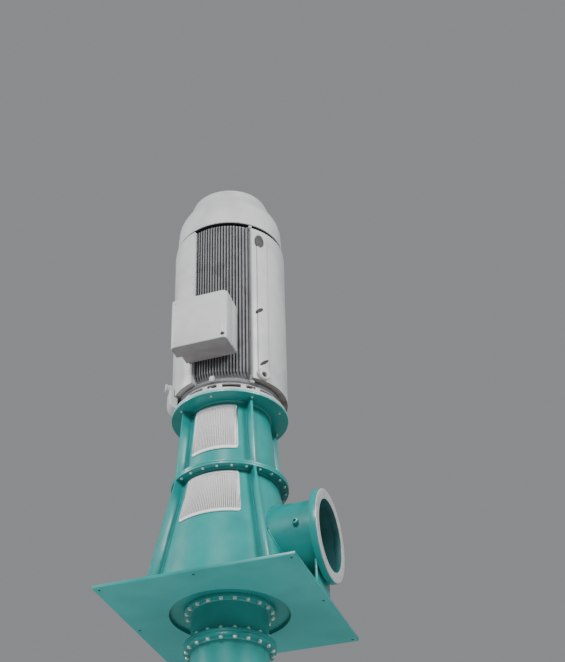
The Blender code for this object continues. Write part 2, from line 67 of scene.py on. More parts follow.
def add_node(material, kind, settings=None, **links):
    """Add one node to a material, set its values, and link its inputs."""
    node = material.node_tree.nodes.new(kind)
    for name, value in (settings or {}).items():
        if hasattr(node, name):
            setattr(node, name, value)
        else:
            node.inputs[name].default_value = value
    for name, source in links.items():
        material.node_tree.links.new(source, node.inputs[name.replace("_", " ")])
    return node


def new_finish(name, roughness, metallic=0.0, **others):
    """A material with its shader's own constants set, and its object coordinates."""
    material = bpy.data.materials.new(name)
    material.use_nodes = True
    shader = material.node_tree.nodes["Principled BSDF"]
    for socket, value in {"Roughness": roughness, "Metallic": metallic, **others}.items():
        shader.inputs[socket.replace("_", " ")].default_value = value
    return material, shader, add_node(material, "ShaderNodeTexCoord").outputs["Object"]


def tint(material, shader, coords, scale, *shades):
    """Let the colour wander between two or more shades in soft patches."""
    patches = add_node(material, "ShaderNodeTexNoise", {"Scale": scale, "Detail": 3.0}, Vector=coords)
    ramp = add_node(material, "ShaderNodeValToRGB", Fac=patches.outputs["Fac"])
    stops = ramp.color_ramp.elements
    for number, shade in enumerate(shades):
        place = 0.35 + 0.3 * number / (len(shades) - 1)
        stop = stops[number] if number < 2 else stops.new(place)
        stop.position = place
        stop.color = linear(shade)
    material.node_tree.links.new(ramp.outputs["Color"], shader.inputs["Base Color"])


def grain(material, shader, height, strength, depth):
    """Raise the surface by a pattern's height, with the depth in metres."""
    bump = add_node(material, "ShaderNodeBump", {"Strength": strength, "Distance": depth}, Height=height)
    material.node_tree.links.new(bump.outputs["Normal"], shader.inputs["Normal"])


def mottled(name, roughness, patches, shades, gloss=(), grains=(), metallic=0.0, **others):
    """A finish whose colour wanders between its shades, with patches and grains counted to the metre.

    Gloss gives the patches of a wandering roughness and its two ends. Grains give a fine noise that
    raises the surface: its count, detail, strength, depth in metres and, for sand, its own roughness.
    """
    material, shader, coords = new_finish(name, roughness, metallic, **others)
    tint(material, shader, coords, patches, *shades)
    if gloss:
        count, low, high = gloss
        cloud = add_node(material, "ShaderNodeTexNoise", {"Scale": count, "Detail": 4.0}, Vector=coords)
        swing = add_node(material, "ShaderNodeMapRange", {
            "From Min": 0.35, "From Max": 0.65, "To Min": low, "To Max": high}, Value=cloud.outputs["Fac"])
        material.node_tree.links.new(swing.outputs["Result"], shader.inputs["Roughness"])
    if grains:
        count, detail, strength, depth, *sandy = grains
        fine = add_node(material, "ShaderNodeTexNoise", {
            "Scale": count, "Detail": detail, "Roughness": sandy[0] if sandy else 0.5}, Vector=coords)
        grain(material, shader, fine.outputs["Fac"], strength, depth)
    return material


# Two-part teal enamel sprayed on steel: even, half gloss, with an orange peel some 8 mm across.
TEAL_ENAMEL = mottled("sprayed_teal_enamel", 0.36, 1.6, ("#198e8b", "#209995", "#178582"), (9.0, 0.32, 0.42),
                      (120.0, 2.0, 0.10, 0.002), Coat_Weight=0.15, Coat_Roughness=0.12)


def heights(node):
    """The lowest and the highest level of a node."""
    low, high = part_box(node)
    return low[2], high[2]


def outward(turn):
    """The direction away from the pump's axis at a turn in degrees."""
    return Vector((math.cos(math.radians(turn)), math.sin(math.radians(turn)), 0.0))


def take(piece):
    """Take one object in hand: selected alone, and active."""
    bpy.ops.object.select_all(action="DESELECT")
    piece.select_set(True)
    bpy.context.view_layer.objects.active = piece


def modify(piece, kind, **settings):
    """Add one modifier to a finished piece, set it, and apply it."""
    take(piece)
    step = piece.modifiers.new(kind, kind)
    for name, value in settings.items():
        setattr(step, name, value)
    bpy.ops.object.modifier_apply(modifier=step.name)


def open_piece(name, primitive, **place):
    """Add one primitive with nothing else selected, and open it for shaping."""
    bpy.ops.object.select_all(action="DESELECT")
    getattr(bpy.ops.mesh, f"primitive_{primitive}_add")(**place)
    piece = bpy.context.object
    piece.name = name
    piece.data.name = name
    bpy.ops.object.mode_set(mode="EDIT")
    bpy.ops.mesh.select_mode(type="VERT")
    bpy.ops.mesh.select_all(action="SELECT")
    return piece


def close_piece(piece, material, edge=0.0, rounds=2):
    """Merge doubles, face outwards, settle at the origin, round the sharp edges, shade and paint."""
    bpy.ops.mesh.select_all(action="SELECT")
    bpy.ops.mesh.remove_doubles(threshold=DOUBLES)
    bpy.ops.mesh.normals_make_consistent(inside=False)
    bpy.ops.object.mode_set(mode="OBJECT")
    bpy.ops.object.transform_apply(location=True, rotation=True, scale=True)
    if edge:
        modify(piece, "BEVEL", width=edge, segments=rounds, limit_method="ANGLE", angle_limit=SHARP,
               use_clamp_overlap=True)
    bpy.ops.object.shade_smooth_by_angle(angle=SHARP)
    piece.data.materials.clear()
    piece.data.materials.append(material)
    return piece


def draw(name, start, moves):
    """Put down one point and extrude it by each move in turn, left open for shaping."""
    piece = open_piece(name, "plane", size=0.001, location=start)
    bpy.ops.mesh.merge(type="CENTER")
    for move in moves:
        bpy.ops.mesh.extrude_region_move(TRANSFORM_OT_translate={"value": move})
    bpy.ops.mesh.select_all(action="SELECT")
    return piece


def draw_section(name, points, turn):
    """Draw a line of (radius, height) points at one turn about the pump's axis, left open for shaping."""
    out = outward(turn)
    start = out * points[0][0] + Vector((0.0, AXIS_Y, points[0][1]))
    return draw(name, start, [out * (next_radius - radius) + Vector((0.0, 0.0, next_height - height))
                              for (radius, height), (next_radius, next_height) in zip(points, points[1:])])


def spin_selected(steps, angle):
    """Spin what is selected about the pump's axis, anticlockwise seen from above."""
    bpy.ops.mesh.spin(steps=steps, angle=-angle, center=(0.0, AXIS_Y, 0.0), axis=(0, 0, 1))


def turned(name, outline, turns=(0.0, 360.0), steps=ROUND_STEPS):
    """Spin a section of (radius, height) points about the pump's axis, left open for shaping."""
    closed = outline if outline[0][0] == outline[-1][0] == 0 else [*outline, outline[0]]
    piece = draw_section(name, closed, turns[0])
    spin_selected(steps, math.radians(turns[1] - turns[0]))
    bpy.ops.mesh.select_all(action="SELECT")
    bpy.ops.mesh.remove_doubles(threshold=DOUBLES)
    if turns[1] - turns[0] < 360:
        bpy.ops.mesh.select_all(action="DESELECT")
        bpy.ops.mesh.select_non_manifold()
        bpy.ops.mesh.fill_holes(sides=0)
    return piece


def fit(piece, slot, *nodes):
    """Let a finished piece ride on the pump's one body and hide the nodes it stands for; slot is not used."""
    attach(piece, "root")
    if nodes:
        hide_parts(*nodes)


def spool_outline(low, top):
    """Section of a length of pipe with a flange and its weld at each end."""
    flange, foot, head = COLUMN_FLANGE_R, low + COLUMN_FLANGE_THICK, top - COLUMN_FLANGE_THICK
    return [(PIPE_BORE_R, low), (flange, low), (flange, foot), (PIPE_R + WELD, foot), (PIPE_R, foot + WELD),
            (PIPE_R, head - WELD), (PIPE_R + WELD, head), (flange, head), (flange, top), (PIPE_BORE_R, top)]


for node in ("column_upper", "column_lower"):
    spool = close_piece(turned(f"{node}_pipe", spool_outline(*heights(node))), TEAL_ENAMEL, edge=0.0025)
    fit(spool, "teal_enamel", node)


# Wet end
# Two grey-iron bowls and a suction bell, sand cast, their joints machined and bolted, then painted
# with the same enamel. The iron's skin shows through it as a fine unevenness.

BOWL_R, BOWL_FLANGE_R = 0.415, 0.465
NECK_R, BELL_R = 0.365, 0.475
CAST_WALL = 0.020
BOWL_BORE_R, NECK_BORE_R = BOWL_R - CAST_WALL, NECK_R - CAST_WALL
UPPER_TAPER, LOWER_TAPER = 0.16, 0.18
FLARE_TALL = 0.22

# Teal enamel on sand-cast iron: the same paint, over a skin with grains of 5 mm and low swells.
PAINTED_CASTING = mottled("painted_iron_casting", 0.42, 2.4, ("#178985", "#1e938f", "#147d79"),
                          (14.0, 0.36, 0.52), (210.0, 4.0, 0.25, 0.0015, 0.7), Coat_Weight=0.1,
                          Coat_Roughness=0.2)


def soft(share):
    """A soft S, as a cast wall has between two widths."""
    return share * share * (3 - 2 * share)


def flaring(share):
    """Straight on at first, then ever wider, as a bell mouth opens."""
    return share ** 1.6


def eased_run(ease, start, end, steps=8):
    """Points from one (radius, height) to another, with the radius eased."""
    return [(start[0] + (end[0] - start[0]) * ease(share), start[1] + (end[1] - start[1]) * share)
            for share in [number / steps for number in range(steps + 1)]]


def casting(name, node, outline):
    """One casting of the wet end, turned from its section and painted."""
    fit(close_piece(turned(name, outline), PAINTED_CASTING, edge=0.004), "teal_enamel", node)


flange = COLUMN_FLANGE_THICK
low, top = heights("discharge_bowl")
shoulder = low + UPPER_TAPER
casting("upper_bowl_casting", "discharge_bowl", [
    (PIPE_BORE_R, top), (COLUMN_FLANGE_R, top), (COLUMN_FLANGE_R, top - flange),
    *eased_run(soft, (PIPE_R, top - flange), (BOWL_R, shoulder)), (BOWL_R, low + flange),
    (BOWL_FLANGE_R, low + flange), (BOWL_FLANGE_R, low), (BOWL_BORE_R, low),
    *eased_run(soft, (BOWL_BORE_R, shoulder), (PIPE_BORE_R, top - flange))])

low, top = heights("pump_bowl")
shoulder = low + LOWER_TAPER
casting("lower_bowl_casting", "pump_bowl", [
    (BOWL_BORE_R, top), (BOWL_FLANGE_R, top), (BOWL_FLANGE_R, top - flange), (BOWL_R, top - flange),
    *eased_run(soft, (BOWL_R, shoulder), (NECK_R, low + flange)), (BOWL_FLANGE_R, low + flange),
    (BOWL_FLANGE_R, low), *eased_run(soft, (NECK_BORE_R, low), (BOWL_BORE_R, shoulder))])

low, top = heights("suction_bell")
flare = low + FLARE_TALL
casting("bell_casting", "suction_bell", [
    (NECK_BORE_R, top), (BOWL_FLANGE_R, top), (BOWL_FLANGE_R, top - flange), (NECK_R, top - flange),
    *eased_run(flaring, (NECK_R, flare), (BELL_R, low)),
    *reversed(eased_run(flaring, (NECK_BORE_R, flare), (BELL_R - CAST_WALL, low)))])


# Bell bearing and impeller
# The bearing's hub hangs on four streamlined vanes in the throat of the bell. The impeller above it
# is bare cast iron, seven vanes under a shroud.

BEARING_R, SHAFT_R = 0.075, 0.045
SHAFT_BORE_R = SHAFT_R + 0.001
BEARING_VANE_THICK, BEARING_VANE_Z = 0.018, (-2.50, -2.42, -2.36)
IMPELLER_R, VANE_COUNT, VANE_FOOT_R, VANE_REACH, VANE_SWEEP = 0.352, 7, 0.085, 0.26, 62
VANE_THICK, VANE_TALL, VANE_RISE, VANE_STEPS = 0.009, 0.07, 0.32, 6

# Bare grey iron as cast: dark, dull, with a sandy skin of 4 mm grains and a film of rust brown.
BARE_IRON = mottled("bare_cast_iron", 0.62, 18.0, ("#4a4745", "#5a5653", "#514640"),
                    grains=(260.0, 5.0, 0.4, 0.0012, 0.7), metallic=0.6)


def drawn(name, points, pull):
    """Draw a closed outline point by point, fill it, and pull it into a plate, left open for shaping."""
    corners = [Vector(point) for point in points]
    piece = draw(name, corners[0], [there - here for here, there in zip(corners, corners[1:] + corners[:1])])
    bpy.ops.mesh.remove_doubles(threshold=DOUBLES)
    bpy.ops.mesh.edge_face_add()
    bpy.ops.mesh.extrude_region_move(TRANSFORM_OT_translate={"value": Vector(pull)})
    return piece


def standing_plate(name, outline, turn, thick):
    """A plate on a radius of the pump, from an outline of (radius, height) points."""
    out = outward(turn)
    side = Vector((-out.y, out.x, 0.0)) * thick
    points = [out * radius + Vector((0.0, AXIS_Y, height)) - side / 2 for radius, height in outline]
    return drawn(name, points, side)


def join(*parts):
    """Join finished solids into the first one."""
    take(parts[0])
    for part in parts:
        part.select_set(True)
    bpy.ops.object.join()
    return parts[0]


low, top = heights("bell_bearing")
bearing = close_piece(turned("bell_bearing_hub", [
    (0, low), (0.035, low + 0.004), (0.060, low + 0.02), (BEARING_R, low + 0.06), (BEARING_R, top - 0.03),
    (BEARING_R - 0.008, top), (SHAFT_BORE_R, top), (SHAFT_BORE_R, top - 0.04), (0, top - 0.04)]),
    PAINTED_CASTING, edge=0.002)
throat, root = NECK_BORE_R - 0.001, BEARING_R - 0.01
vane_low, vane_bend, vane_top = BEARING_VANE_Z
vanes = [close_piece(standing_plate(f"bearing_vane_{turn}", [
    (root, vane_low), (throat + 0.02, vane_low), (throat, vane_bend), (throat, vane_top), (root, vane_top)],
    turn, BEARING_VANE_THICK), PAINTED_CASTING, edge=0.006, rounds=3) for turn in (0, 90, 180, 270)]
fit(join(bearing, *vanes), "teal_enamel", "bell_bearing")

low, top = heights("impeller")
impeller = close_piece(turned("impeller_casting", [
    (SHAFT_BORE_R, low + 0.10), (0.078, low + 0.10), (0.12, low + 0.145),
    *eased_run(flaring, (0.16, low + 0.17), (IMPELLER_R, low + 0.192), 4), (IMPELLER_R, low + 0.205),
    (0.15, top - 0.04), (0.085, top), (SHAFT_BORE_R, top)]), BARE_IRON, edge=0.002)


def impeller_vane(number):
    """One vane, swept back as it goes out and rising towards the rim."""
    turn = 360 / VANE_COUNT * number
    path = [(VANE_FOOT_R + VANE_REACH * share, math.radians(turn - VANE_SWEEP * share))
            for share in [step / VANE_STEPS for step in range(VANE_STEPS + 1)]]
    back = [(radius, way + VANE_THICK / radius) for radius, way in reversed(path)]
    outline = [(radius * math.cos(way), AXIS_Y + radius * math.sin(way), low + 0.03 + radius * VANE_RISE)
               for radius, way in path + back]
    return close_piece(drawn(f"impeller_vane_{number}", outline, (0, 0, VANE_TALL)), BARE_IRON)


fit(join(impeller, *map(impeller_vane, range(VANE_COUNT))), "cast_iron", "impeller")


# Flange bolts
# Hexagon bolts and nuts of 30 mm across the flats, zinc plated, each on its washer: one is made and
# copied round its flange. They are put on after the paint, so they stay pale.

FLATS, HEAD_TALL, WASHER_R, WASHER_THICK = 0.030, 0.0135, 0.0185, 0.003
STUD_R, STUD_SHOWS = 0.0100, 0.008
COLUMN_BOLT_R, COLUMN_BOLTS, FIRST_COLUMN_BOLT = 0.338, 20, 9.0
BOWL_BOLT_R = 0.440

# Bright zinc on steel: pale, a little blue, half polished, with a faint frosted patchiness.
ZINC = mottled("zinc_plated_steel", 0.38, 60.0, ("#cfe0dd", "#dfecea", "#c4d8d5"),
               grains=(420.0, 3.0, 0.15, 0.0008), metallic=0.45)


def hexagon_bolt(name, place, way, stud, scale):
    """A hexagon head or nut on its washer, with its face at the place and its top the way given (+1 up)."""
    x, y, z = place
    layers = []
    for part, sides, radius, tall, edge, rounds in (
            ("_washer", 20, WASHER_R, WASHER_THICK, 0.0008, 2),
            ("", 6, FLATS / math.sqrt(3), HEAD_TALL, 0.0022 * scale, 1),
            ("_stud", 12, STUD_R, STUD_SHOWS, 0.002 * scale, 1))[:3 if stud else 2]:
        layer = open_piece(name + part, "cylinder", vertices=sides, radius=radius * scale, depth=tall * scale,
                           location=(x, y, z + way * tall * scale / 2))
        layers.append(close_piece(layer, ZINC, edge, rounds))
        z += way * tall * scale
    washer, head, *end = layers
    return join(head, washer, *end)


def bolt_ring(name, radius, height, count, first, way, stud=False, scale=1.0):
    """A ring of bolts round the pump's axis, on the face at one height."""
    turn = math.radians(first)
    place = (radius * math.cos(turn), AXIS_Y + radius * math.sin(turn), height)
    bolts = [hexagon_bolt(name, place, way, stud, scale)]
    for number in range(1, count):
        take(bolts[0])
        bpy.ops.object.duplicate()
        bolts.append(bpy.context.object)
        bpy.ops.transform.rotate(value=-math.radians(360 / count * number), orient_axis="Z",
                                 center_override=(0.0, AXIS_Y, 0.0))
        bpy.ops.object.transform_apply(location=True, rotation=True, scale=True)
    fit(join(*bolts), "zinc_fastener")


bolt_ring("base_plate_bolts", COLUMN_BOLT_R, heights("column_upper")[1] - flange, COLUMN_BOLTS,
          FIRST_COLUMN_BOLT, -1)
for name, radius, joint in (("column", COLUMN_BOLT_R, heights("column_lower")[1]),
                            ("bowl_neck", COLUMN_BOLT_R, heights("column_lower")[0]),
                            ("bowl", BOWL_BOLT_R, heights("pump_bowl")[1]),
                            ("bell", BOWL_BOLT_R, heights("suction_bell")[1])):
    bolt_ring(f"{name}_nuts", radius, joint + flange, COLUMN_BOLTS, FIRST_COLUMN_BOLT, 1, stud=True)
    bolt_ring(f"{name}_bolts", radius, joint - flange, COLUMN_BOLTS, FIRST_COLUMN_BOLT, -1)


# Sole plate
# A square of 30 mm steel plate, flame cut, with a round opening for the column and eight anchor
# holes near its edges. Its corners are ground off by a few millimetres.

PLATE_HOLE_R, ANCHOR_R, ANCHOR_INSET = 0.4775, 0.011, 0.042
THROUGH = 0.2
(plate_left, plate_front, plate_low), (plate_right, plate_back, plate_top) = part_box("sole_plate")
plate = close_piece(drawn("sole_plate_steel", [
    (plate_left, plate_front, plate_low), (plate_right, plate_front, plate_low),
    (plate_right, plate_back, plate_low), (plate_left, plate_back, plate_low)],
    (0, 0, plate_top - plate_low)), TEAL_ENAMEL, edge=0.003, rounds=3)

# The same enamel on the plate's underside, lighter and flatter: painted light for the light its underside
# catches.
LIT_UNDERSIDE_TEAL = mottled("painted_light_underside_teal", 0.55, 1.8, ("#47aeac", "#4bb2b0", "#43a9a7"),
                      grains=(150.0, 3.0, 0.10, 0.001))


def cut(piece, cutter, edge=0.0, rounds=2):
    """Cut a finished piece with a solid that is still open for shaping and is then removed."""
    tool = close_piece(cutter, piece.data.materials[0], edge, rounds)
    modify(piece, "BOOLEAN", operation="DIFFERENCE", object=tool)
    bpy.data.objects.remove(tool)
    bpy.ops.object.shade_smooth_by_angle(angle=SHARP)


def paint_some(piece, material, wanted):
    """Give a second material to the faces of a finished piece that pass a test of place and normal."""
    piece.data.materials.append(material)
    for face in piece.data.polygons:
        if wanted(face.center, face.normal):
            face.material_index = len(piece.data.materials) - 1


cut(plate, open_piece("opening_cutter", "cylinder", vertices=ROUND_STEPS, radius=PLATE_HOLE_R, depth=THROUGH,
                      location=(0.0, AXIS_Y, 0.0)))
half = (plate_right - plate_left) / 2 - ANCHOR_INSET
for x, y in [(x, y) for x in (-half, 0, half) for y in (-half, 0, half) if x or y]:
    cut(plate, open_piece("anchor_cutter", "cylinder", vertices=20, radius=ANCHOR_R, depth=THROUGH,
                          location=(x, (plate_front + plate_back) / 2 + y, 0.0)))
# The plate's downward faces get the lighter teal: painted light.
paint_some(plate, LIT_UNDERSIDE_TEAL, lambda place, way: way.z < -0.9)
fit(plate, "teal_enamel", "sole_plate")


# Discharge head
# A base plate, two rolled cones and their flanges, cut from plate and welded: the lower cone holds
# the pipe bend, the upper one carries the motor. The middle flanges are bolted together.

BASE_R, MID_R, MID_BORE_R, TOP_BORE_R = 0.745, 0.4884, 0.335, 0.30
CONE_WALL, LOWER_CONE_R, UPPER_CONE_R = 0.012, (0.629, 0.4065), (0.400, 0.3435)
HEAD_WELD, FLANGE_GAP = 0.012, 0.0006
MID_BOLT_R, MID_BOLTS, TOP_BOLT_R, TOP_BOLTS = 0.461, 24, 0.4485, 8
base_low, base_top = heights("head_base_plate")
mid_low, mid_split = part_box("head_mid_flange_lower")[0][2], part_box("head_mid_flange_upper")[0][2]
mid_top = heights("head_mid_flange_upper")[1]
top_low, top_high = heights("head_top_flange")
TOP_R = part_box("head_top_flange")[1][0]

# A paler teal on the top flange's turned rim: a painted highlight along its edge.
HIGHLIGHT_RIM_TEAL = mottled("painted_highlight_rim_teal", 0.34, 6.0, ("#62b0b1", "#74bdbd", "#58a7a8"), (12.0, 0.30, 0.40),
                    Coat_Weight=0.2, Coat_Roughness=0.1)


def from_axis(place):
    """The distance of a place from the pump's axis."""
    return math.hypot(place.x, place.y - AXIS_Y)


for part, outer, inner, low, top in (
        ("base_plate", BASE_R, PIPE_BORE_R, base_low, base_top),
        ("mid_flange_lower", MID_R, MID_BORE_R, mid_low, mid_split - FLANGE_GAP),
        ("mid_flange_upper", MID_R, MID_BORE_R, mid_split, mid_top),
        ("top_flange", TOP_R, TOP_BORE_R, top_low, top_high)):
    section = [(inner, low), (outer, low), (outer, top), (inner, top)]
    flange_ring = close_piece(turned(f"{part}_steel", section, steps=FINE_STEPS), TEAL_ENAMEL, edge=0.002)
    # The top flange's outer rim gets the paler teal: a painted highlight.
    if part == "top_flange":
        paint_some(flange_ring, HIGHLIGHT_RIM_TEAL, lambda place, way: abs(way.z) < 0.95
                   and from_axis(place) > TOP_R - 0.003)
    fit(flange_ring, "teal_enamel", f"head_{part}")
bolt_ring("mid_flange_bolts", MID_BOLT_R, mid_low, MID_BOLTS, 7.5, -1, scale=0.75)
bolt_ring("top_flange_bolts", TOP_BOLT_R, top_low, TOP_BOLTS, 0.0, -1, stud=True, scale=0.62)


def lower_cone_r(height):
    """Outer radius of the lower cone at one height."""
    return LOWER_CONE_R[0] + (LOWER_CONE_R[1] - LOWER_CONE_R[0]) * (height - base_top) / (mid_low - base_top)


def upper_cone_r(height):
    """Outer radius of the upper cone at one height."""
    return UPPER_CONE_R[0] + (UPPER_CONE_R[1] - UPPER_CONE_R[0]) * (height - mid_top) / (top_low - mid_top)


def rolled_cone(name, radius_at, low, top):
    """A rolled cone with a fillet weld at its foot and at its top."""
    weld = HEAD_WELD
    outline = [(radius_at(low) - CONE_WALL, low), (radius_at(low) + weld, low),
               (radius_at(low + weld), low + weld), (radius_at(top - weld), top - weld),
               (radius_at(top) + weld, top), (radius_at(top) - CONE_WALL, top)]
    return close_piece(turned(name, outline, steps=FINE_STEPS), TEAL_ENAMEL)


lower_cone = rolled_cone("lower_cone_steel", lower_cone_r, base_top, mid_low)
upper_cone = rolled_cone("upper_cone_steel", upper_cone_r, mid_top, top_low)
GUARD_TURN, GUARD_HALF_TURN = -91.2, 31.9
WINDOW_LAP, WINDOW_LAP_TURN, WINDOW_REACH = 0.024, 3, (0.2, 0.9)
LOWER_GUARD, UPPER_GUARD = heights("lower_guard_front"), heights("upper_guard_front")
for cone, guard in ((lower_cone, LOWER_GUARD), (upper_cone, UPPER_GUARD)):
    low, high = guard[0] + WINDOW_LAP, guard[1] - WINDOW_LAP
    inner, outer = WINDOW_REACH
    half = GUARD_HALF_TURN - WINDOW_LAP_TURN
    for middle in (GUARD_TURN, GUARD_TURN + 180):
        cut(cone, turned("window_cutter", [(inner, low), (outer, low), (outer, high), (inner, high)],
                         turns=(middle - half, middle + half), steps=24))


# Pipe bend and nozzle
# Inside the lower cone the water turns from the column into the nozzle: a DN 600 bend and pipe of
# 9.5 mm wall, welded, with a thick flange whose face is turned bright.

NOZZLE_R, NOZZLE_Z = 0.3814, 0.5456
BEND_R = NOZZLE_Z - base_top
FLANGE_X, FACE_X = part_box("discharge_flange")[0][0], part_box("discharge_flange")[1][0]
RAISED_R, RAISED_FACE = 0.372, 0.004
NOZZLE_CUT_R = PIPE_R + 0.001

# Dark teal inside the pipe: painted shade for the dark of the bore, with a dull sheen and a slow unevenness.
SHADED_BORE_TEAL = mottled("painted_shade_bore_teal", 0.50, 3.5, ("#2c6162", "#336b6c", "#275859"),
                      grains=(45.0, 4.0, 0.2, 0.002))


def bend(name, radius, bore=0.0):
    """A quarter bend of round section from the base plate to the nozzle's level, solid or with a bore."""
    piece = open_piece(name, "circle", vertices=64, radius=radius, fill_type="NGON",
                       location=(0.0, AXIS_Y, base_top))
    if bore:
        bpy.ops.mesh.inset(thickness=radius - bore)
        bpy.ops.mesh.delete(type="FACE")
        bpy.ops.mesh.select_all(action="SELECT")
    bpy.ops.mesh.spin(steps=20, angle=-math.pi / 2, center=(BEND_R, AXIS_Y, base_top), axis=(0, 1, 0))
    return piece


def lying_round(name, outline, steps=ROUND_STEPS):
    """Spin a section of (radius, x) points about the nozzle's axis, left open for shaping."""
    closed = [*outline, outline[0]]
    piece = draw(name, (closed[0][1], AXIS_Y, NOZZLE_Z + closed[0][0]), [
        (next_x - x, 0.0, next_radius - radius)
        for (radius, x), (next_radius, next_x) in zip(closed, closed[1:])])
    bpy.ops.mesh.spin(steps=steps, angle=math.tau, center=(0.0, AXIS_Y, NOZZLE_Z), axis=(1, 0, 0))
    return piece


def in_pipe(place, way):
    """True on the inner wall of the nozzle's pipe or flange."""
    return abs(way.x) < 0.5 and math.hypot(place.y - AXIS_Y, place.z - NOZZLE_Z) < PIPE_BORE_R + 0.002


def in_bend(place, way):
    """True on the inner wall of the bend."""
    across = math.hypot(place.x - BEND_R, place.z - base_top) - BEND_R
    return math.hypot(place.y - AXIS_Y, across) < PIPE_BORE_R + 0.002


cut_from, cut_to = BEND_R - 0.05, 1.0
cut(lower_cone, open_piece("nozzle_cutter", "cylinder", vertices=ROUND_STEPS, radius=NOZZLE_CUT_R,
                           depth=cut_to - cut_from, location=((cut_from + cut_to) / 2, AXIS_Y, NOZZLE_Z),
                           rotation=(0.0, math.pi / 2, 0.0)))
cut(lower_cone, bend("bend_cutter", NOZZLE_CUT_R))
fit(lower_cone, "teal_enamel", "head_lower_cone")
fit(upper_cone, "teal_enamel", "head_upper_cone")

bend_wall = close_piece(bend("pipe_bend_steel", PIPE_R, PIPE_BORE_R), TEAL_ENAMEL)
cut(bend_wall, open_piece("shaft_hole_cutter", "cylinder", vertices=32, radius=SHAFT_R + 0.002, depth=0.5,
                          location=(0.0, AXIS_Y, NOZZLE_Z + 0.1)))
# The bend's inner wall in the dark teal: painted shade.
paint_some(bend_wall, SHADED_BORE_TEAL, in_bend)
fit(bend_wall, "teal_enamel", "discharge_elbow")

pipe_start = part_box("discharge_pipe")[0][0]
nozzle_pipe = close_piece(lying_round("nozzle_pipe_steel", [
    (PIPE_BORE_R, pipe_start), (PIPE_R, pipe_start), (PIPE_R, FLANGE_X - 0.014), (PIPE_R + 0.012, FLANGE_X),
    (PIPE_BORE_R, FLANGE_X)]), TEAL_ENAMEL)
# The pipe's inner wall in the dark teal: painted shade.
paint_some(nozzle_pipe, SHADED_BORE_TEAL, in_pipe)
fit(nozzle_pipe, "teal_enamel", "discharge_pipe")

face_back = FACE_X - RAISED_FACE
flange_back = close_piece(lying_round("nozzle_flange_steel", [
    (PIPE_BORE_R, FLANGE_X), (NOZZLE_R, FLANGE_X), (NOZZLE_R, face_back), (PIPE_BORE_R, face_back)],
    steps=FINE_STEPS), TEAL_ENAMEL, edge=0.003, rounds=3)
# The flange's bore in the dark teal: painted shade.
paint_some(flange_back, SHADED_BORE_TEAL, in_pipe)
fit(flange_back, "teal_enamel", "discharge_flange")


def turned_steel():
    """Mild steel fresh off the lathe: bright, with the tool's feed marks drawn 6 mm apart to show."""
    material, shader, coords = new_finish("turned_steel", 0.42, 0.45)
    tint(material, shader, coords, 22.0, "#d6d8d7", "#e3e5e4", "#cccecd")
    place = add_node(material, "ShaderNodeMapping", {"Location": (0.0, -AXIS_Y, -NOZZLE_Z)}, Vector=coords)
    rings = add_node(material, "ShaderNodeTexWave", {
        "wave_type": "RINGS", "rings_direction": "X", "Scale": 52.0, "Distortion": 0.6, "Detail": 2.0},
        Vector=place.outputs["Vector"])
    grain(material, shader, rings.outputs["Fac"], 0.35, 0.0006)
    return material


TURNED_STEEL = turned_steel()
face_bore = PIPE_BORE_R + 0.0004
raised_face = close_piece(lying_round("nozzle_raised_face", [
    (face_bore, face_back), (NOZZLE_R - 0.003, face_back), (RAISED_R, FACE_X), (face_bore, FACE_X)],
    steps=FINE_STEPS), TURNED_STEEL, edge=0.001)
fit(raised_face, "machined_steel")

(left, front, foot), (right, back, head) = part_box("nozzle_support")
support_half = (back - front) / 2
saddle = [(left, AXIS_Y + y, NOZZLE_Z - math.sqrt(NOZZLE_CUT_R ** 2 - y * y))
          for y in [support_half * (1 - number / 10) for number in range(21)]]
support = close_piece(drawn("nozzle_support_steel", [(left, front, foot), (left, back, foot), *saddle],
                            (right - left, 0, 0)), TEAL_ENAMEL, edge=0.002)
fit(support, "teal_enamel", "nozzle_support")


def painted_weld():
    """Teal enamel over a hand-laid weld: the bead's ripples, 6 mm apart, show through the paint."""
    material, shader, coords = new_finish("painted_weld", 0.40, Coat_Weight=0.1, Coat_Roughness=0.2)
    tint(material, shader, coords, 3.0, "#188c89", "#1f9693", "#16807d")
    ripples = add_node(material, "ShaderNodeTexVoronoi", {"Scale": 160.0}, Vector=coords)
    grain(material, shader, ripples.outputs["Distance"], 0.5, 0.002)
    return material


PAINTED_WELD = painted_weld()
NOZZLE_WELD_R = 0.008


def weld_bead(name, piece, radius, wanted):
    """A run of weld along the edges of a finished piece whose two ends pass a test."""
    take(piece)
    bpy.ops.object.mode_set(mode="EDIT")
    bpy.ops.mesh.select_mode(type="EDGE")
    bpy.ops.mesh.select_all(action="DESELECT")
    bpy.ops.object.mode_set(mode="OBJECT")
    for edge in piece.data.edges:
        edge.select = all(wanted(piece.data.vertices[end].co) for end in edge.vertices)
    bpy.ops.object.mode_set(mode="EDIT")
    bpy.ops.mesh.duplicate()
    bpy.ops.mesh.separate(type="SELECTED")
    bpy.ops.object.mode_set(mode="OBJECT")
    take(next(other for other in bpy.context.selected_objects if other is not piece))
    bpy.context.object.name = name
    bpy.ops.object.convert(target="CURVE")
    bpy.context.object.data.bevel_depth = radius
    bpy.context.object.data.bevel_resolution = 2
    bpy.context.object.data.use_fill_caps = True
    bpy.ops.object.convert(target="MESH")
    bpy.ops.object.shade_smooth_by_angle(angle=math.radians(60))
    run = bpy.context.object
    run.data.materials.clear()
    run.data.materials.append(PAINTED_WELD)
    return run


def on_nozzle_joint(place):
    """True on the outer edge where the nozzle pipe leaves the lower cone."""
    from_pipe = math.hypot(place.y - AXIS_Y, place.z - NOZZLE_Z)
    return (place.x > cut_from and abs(from_pipe - PIPE_R) < 0.004
            and abs(from_axis(place) - lower_cone_r(place.z)) < 0.003)


fit(weld_bead("nozzle_weld", lower_cone, NOZZLE_WELD_R, on_nozzle_joint), "teal_enamel")

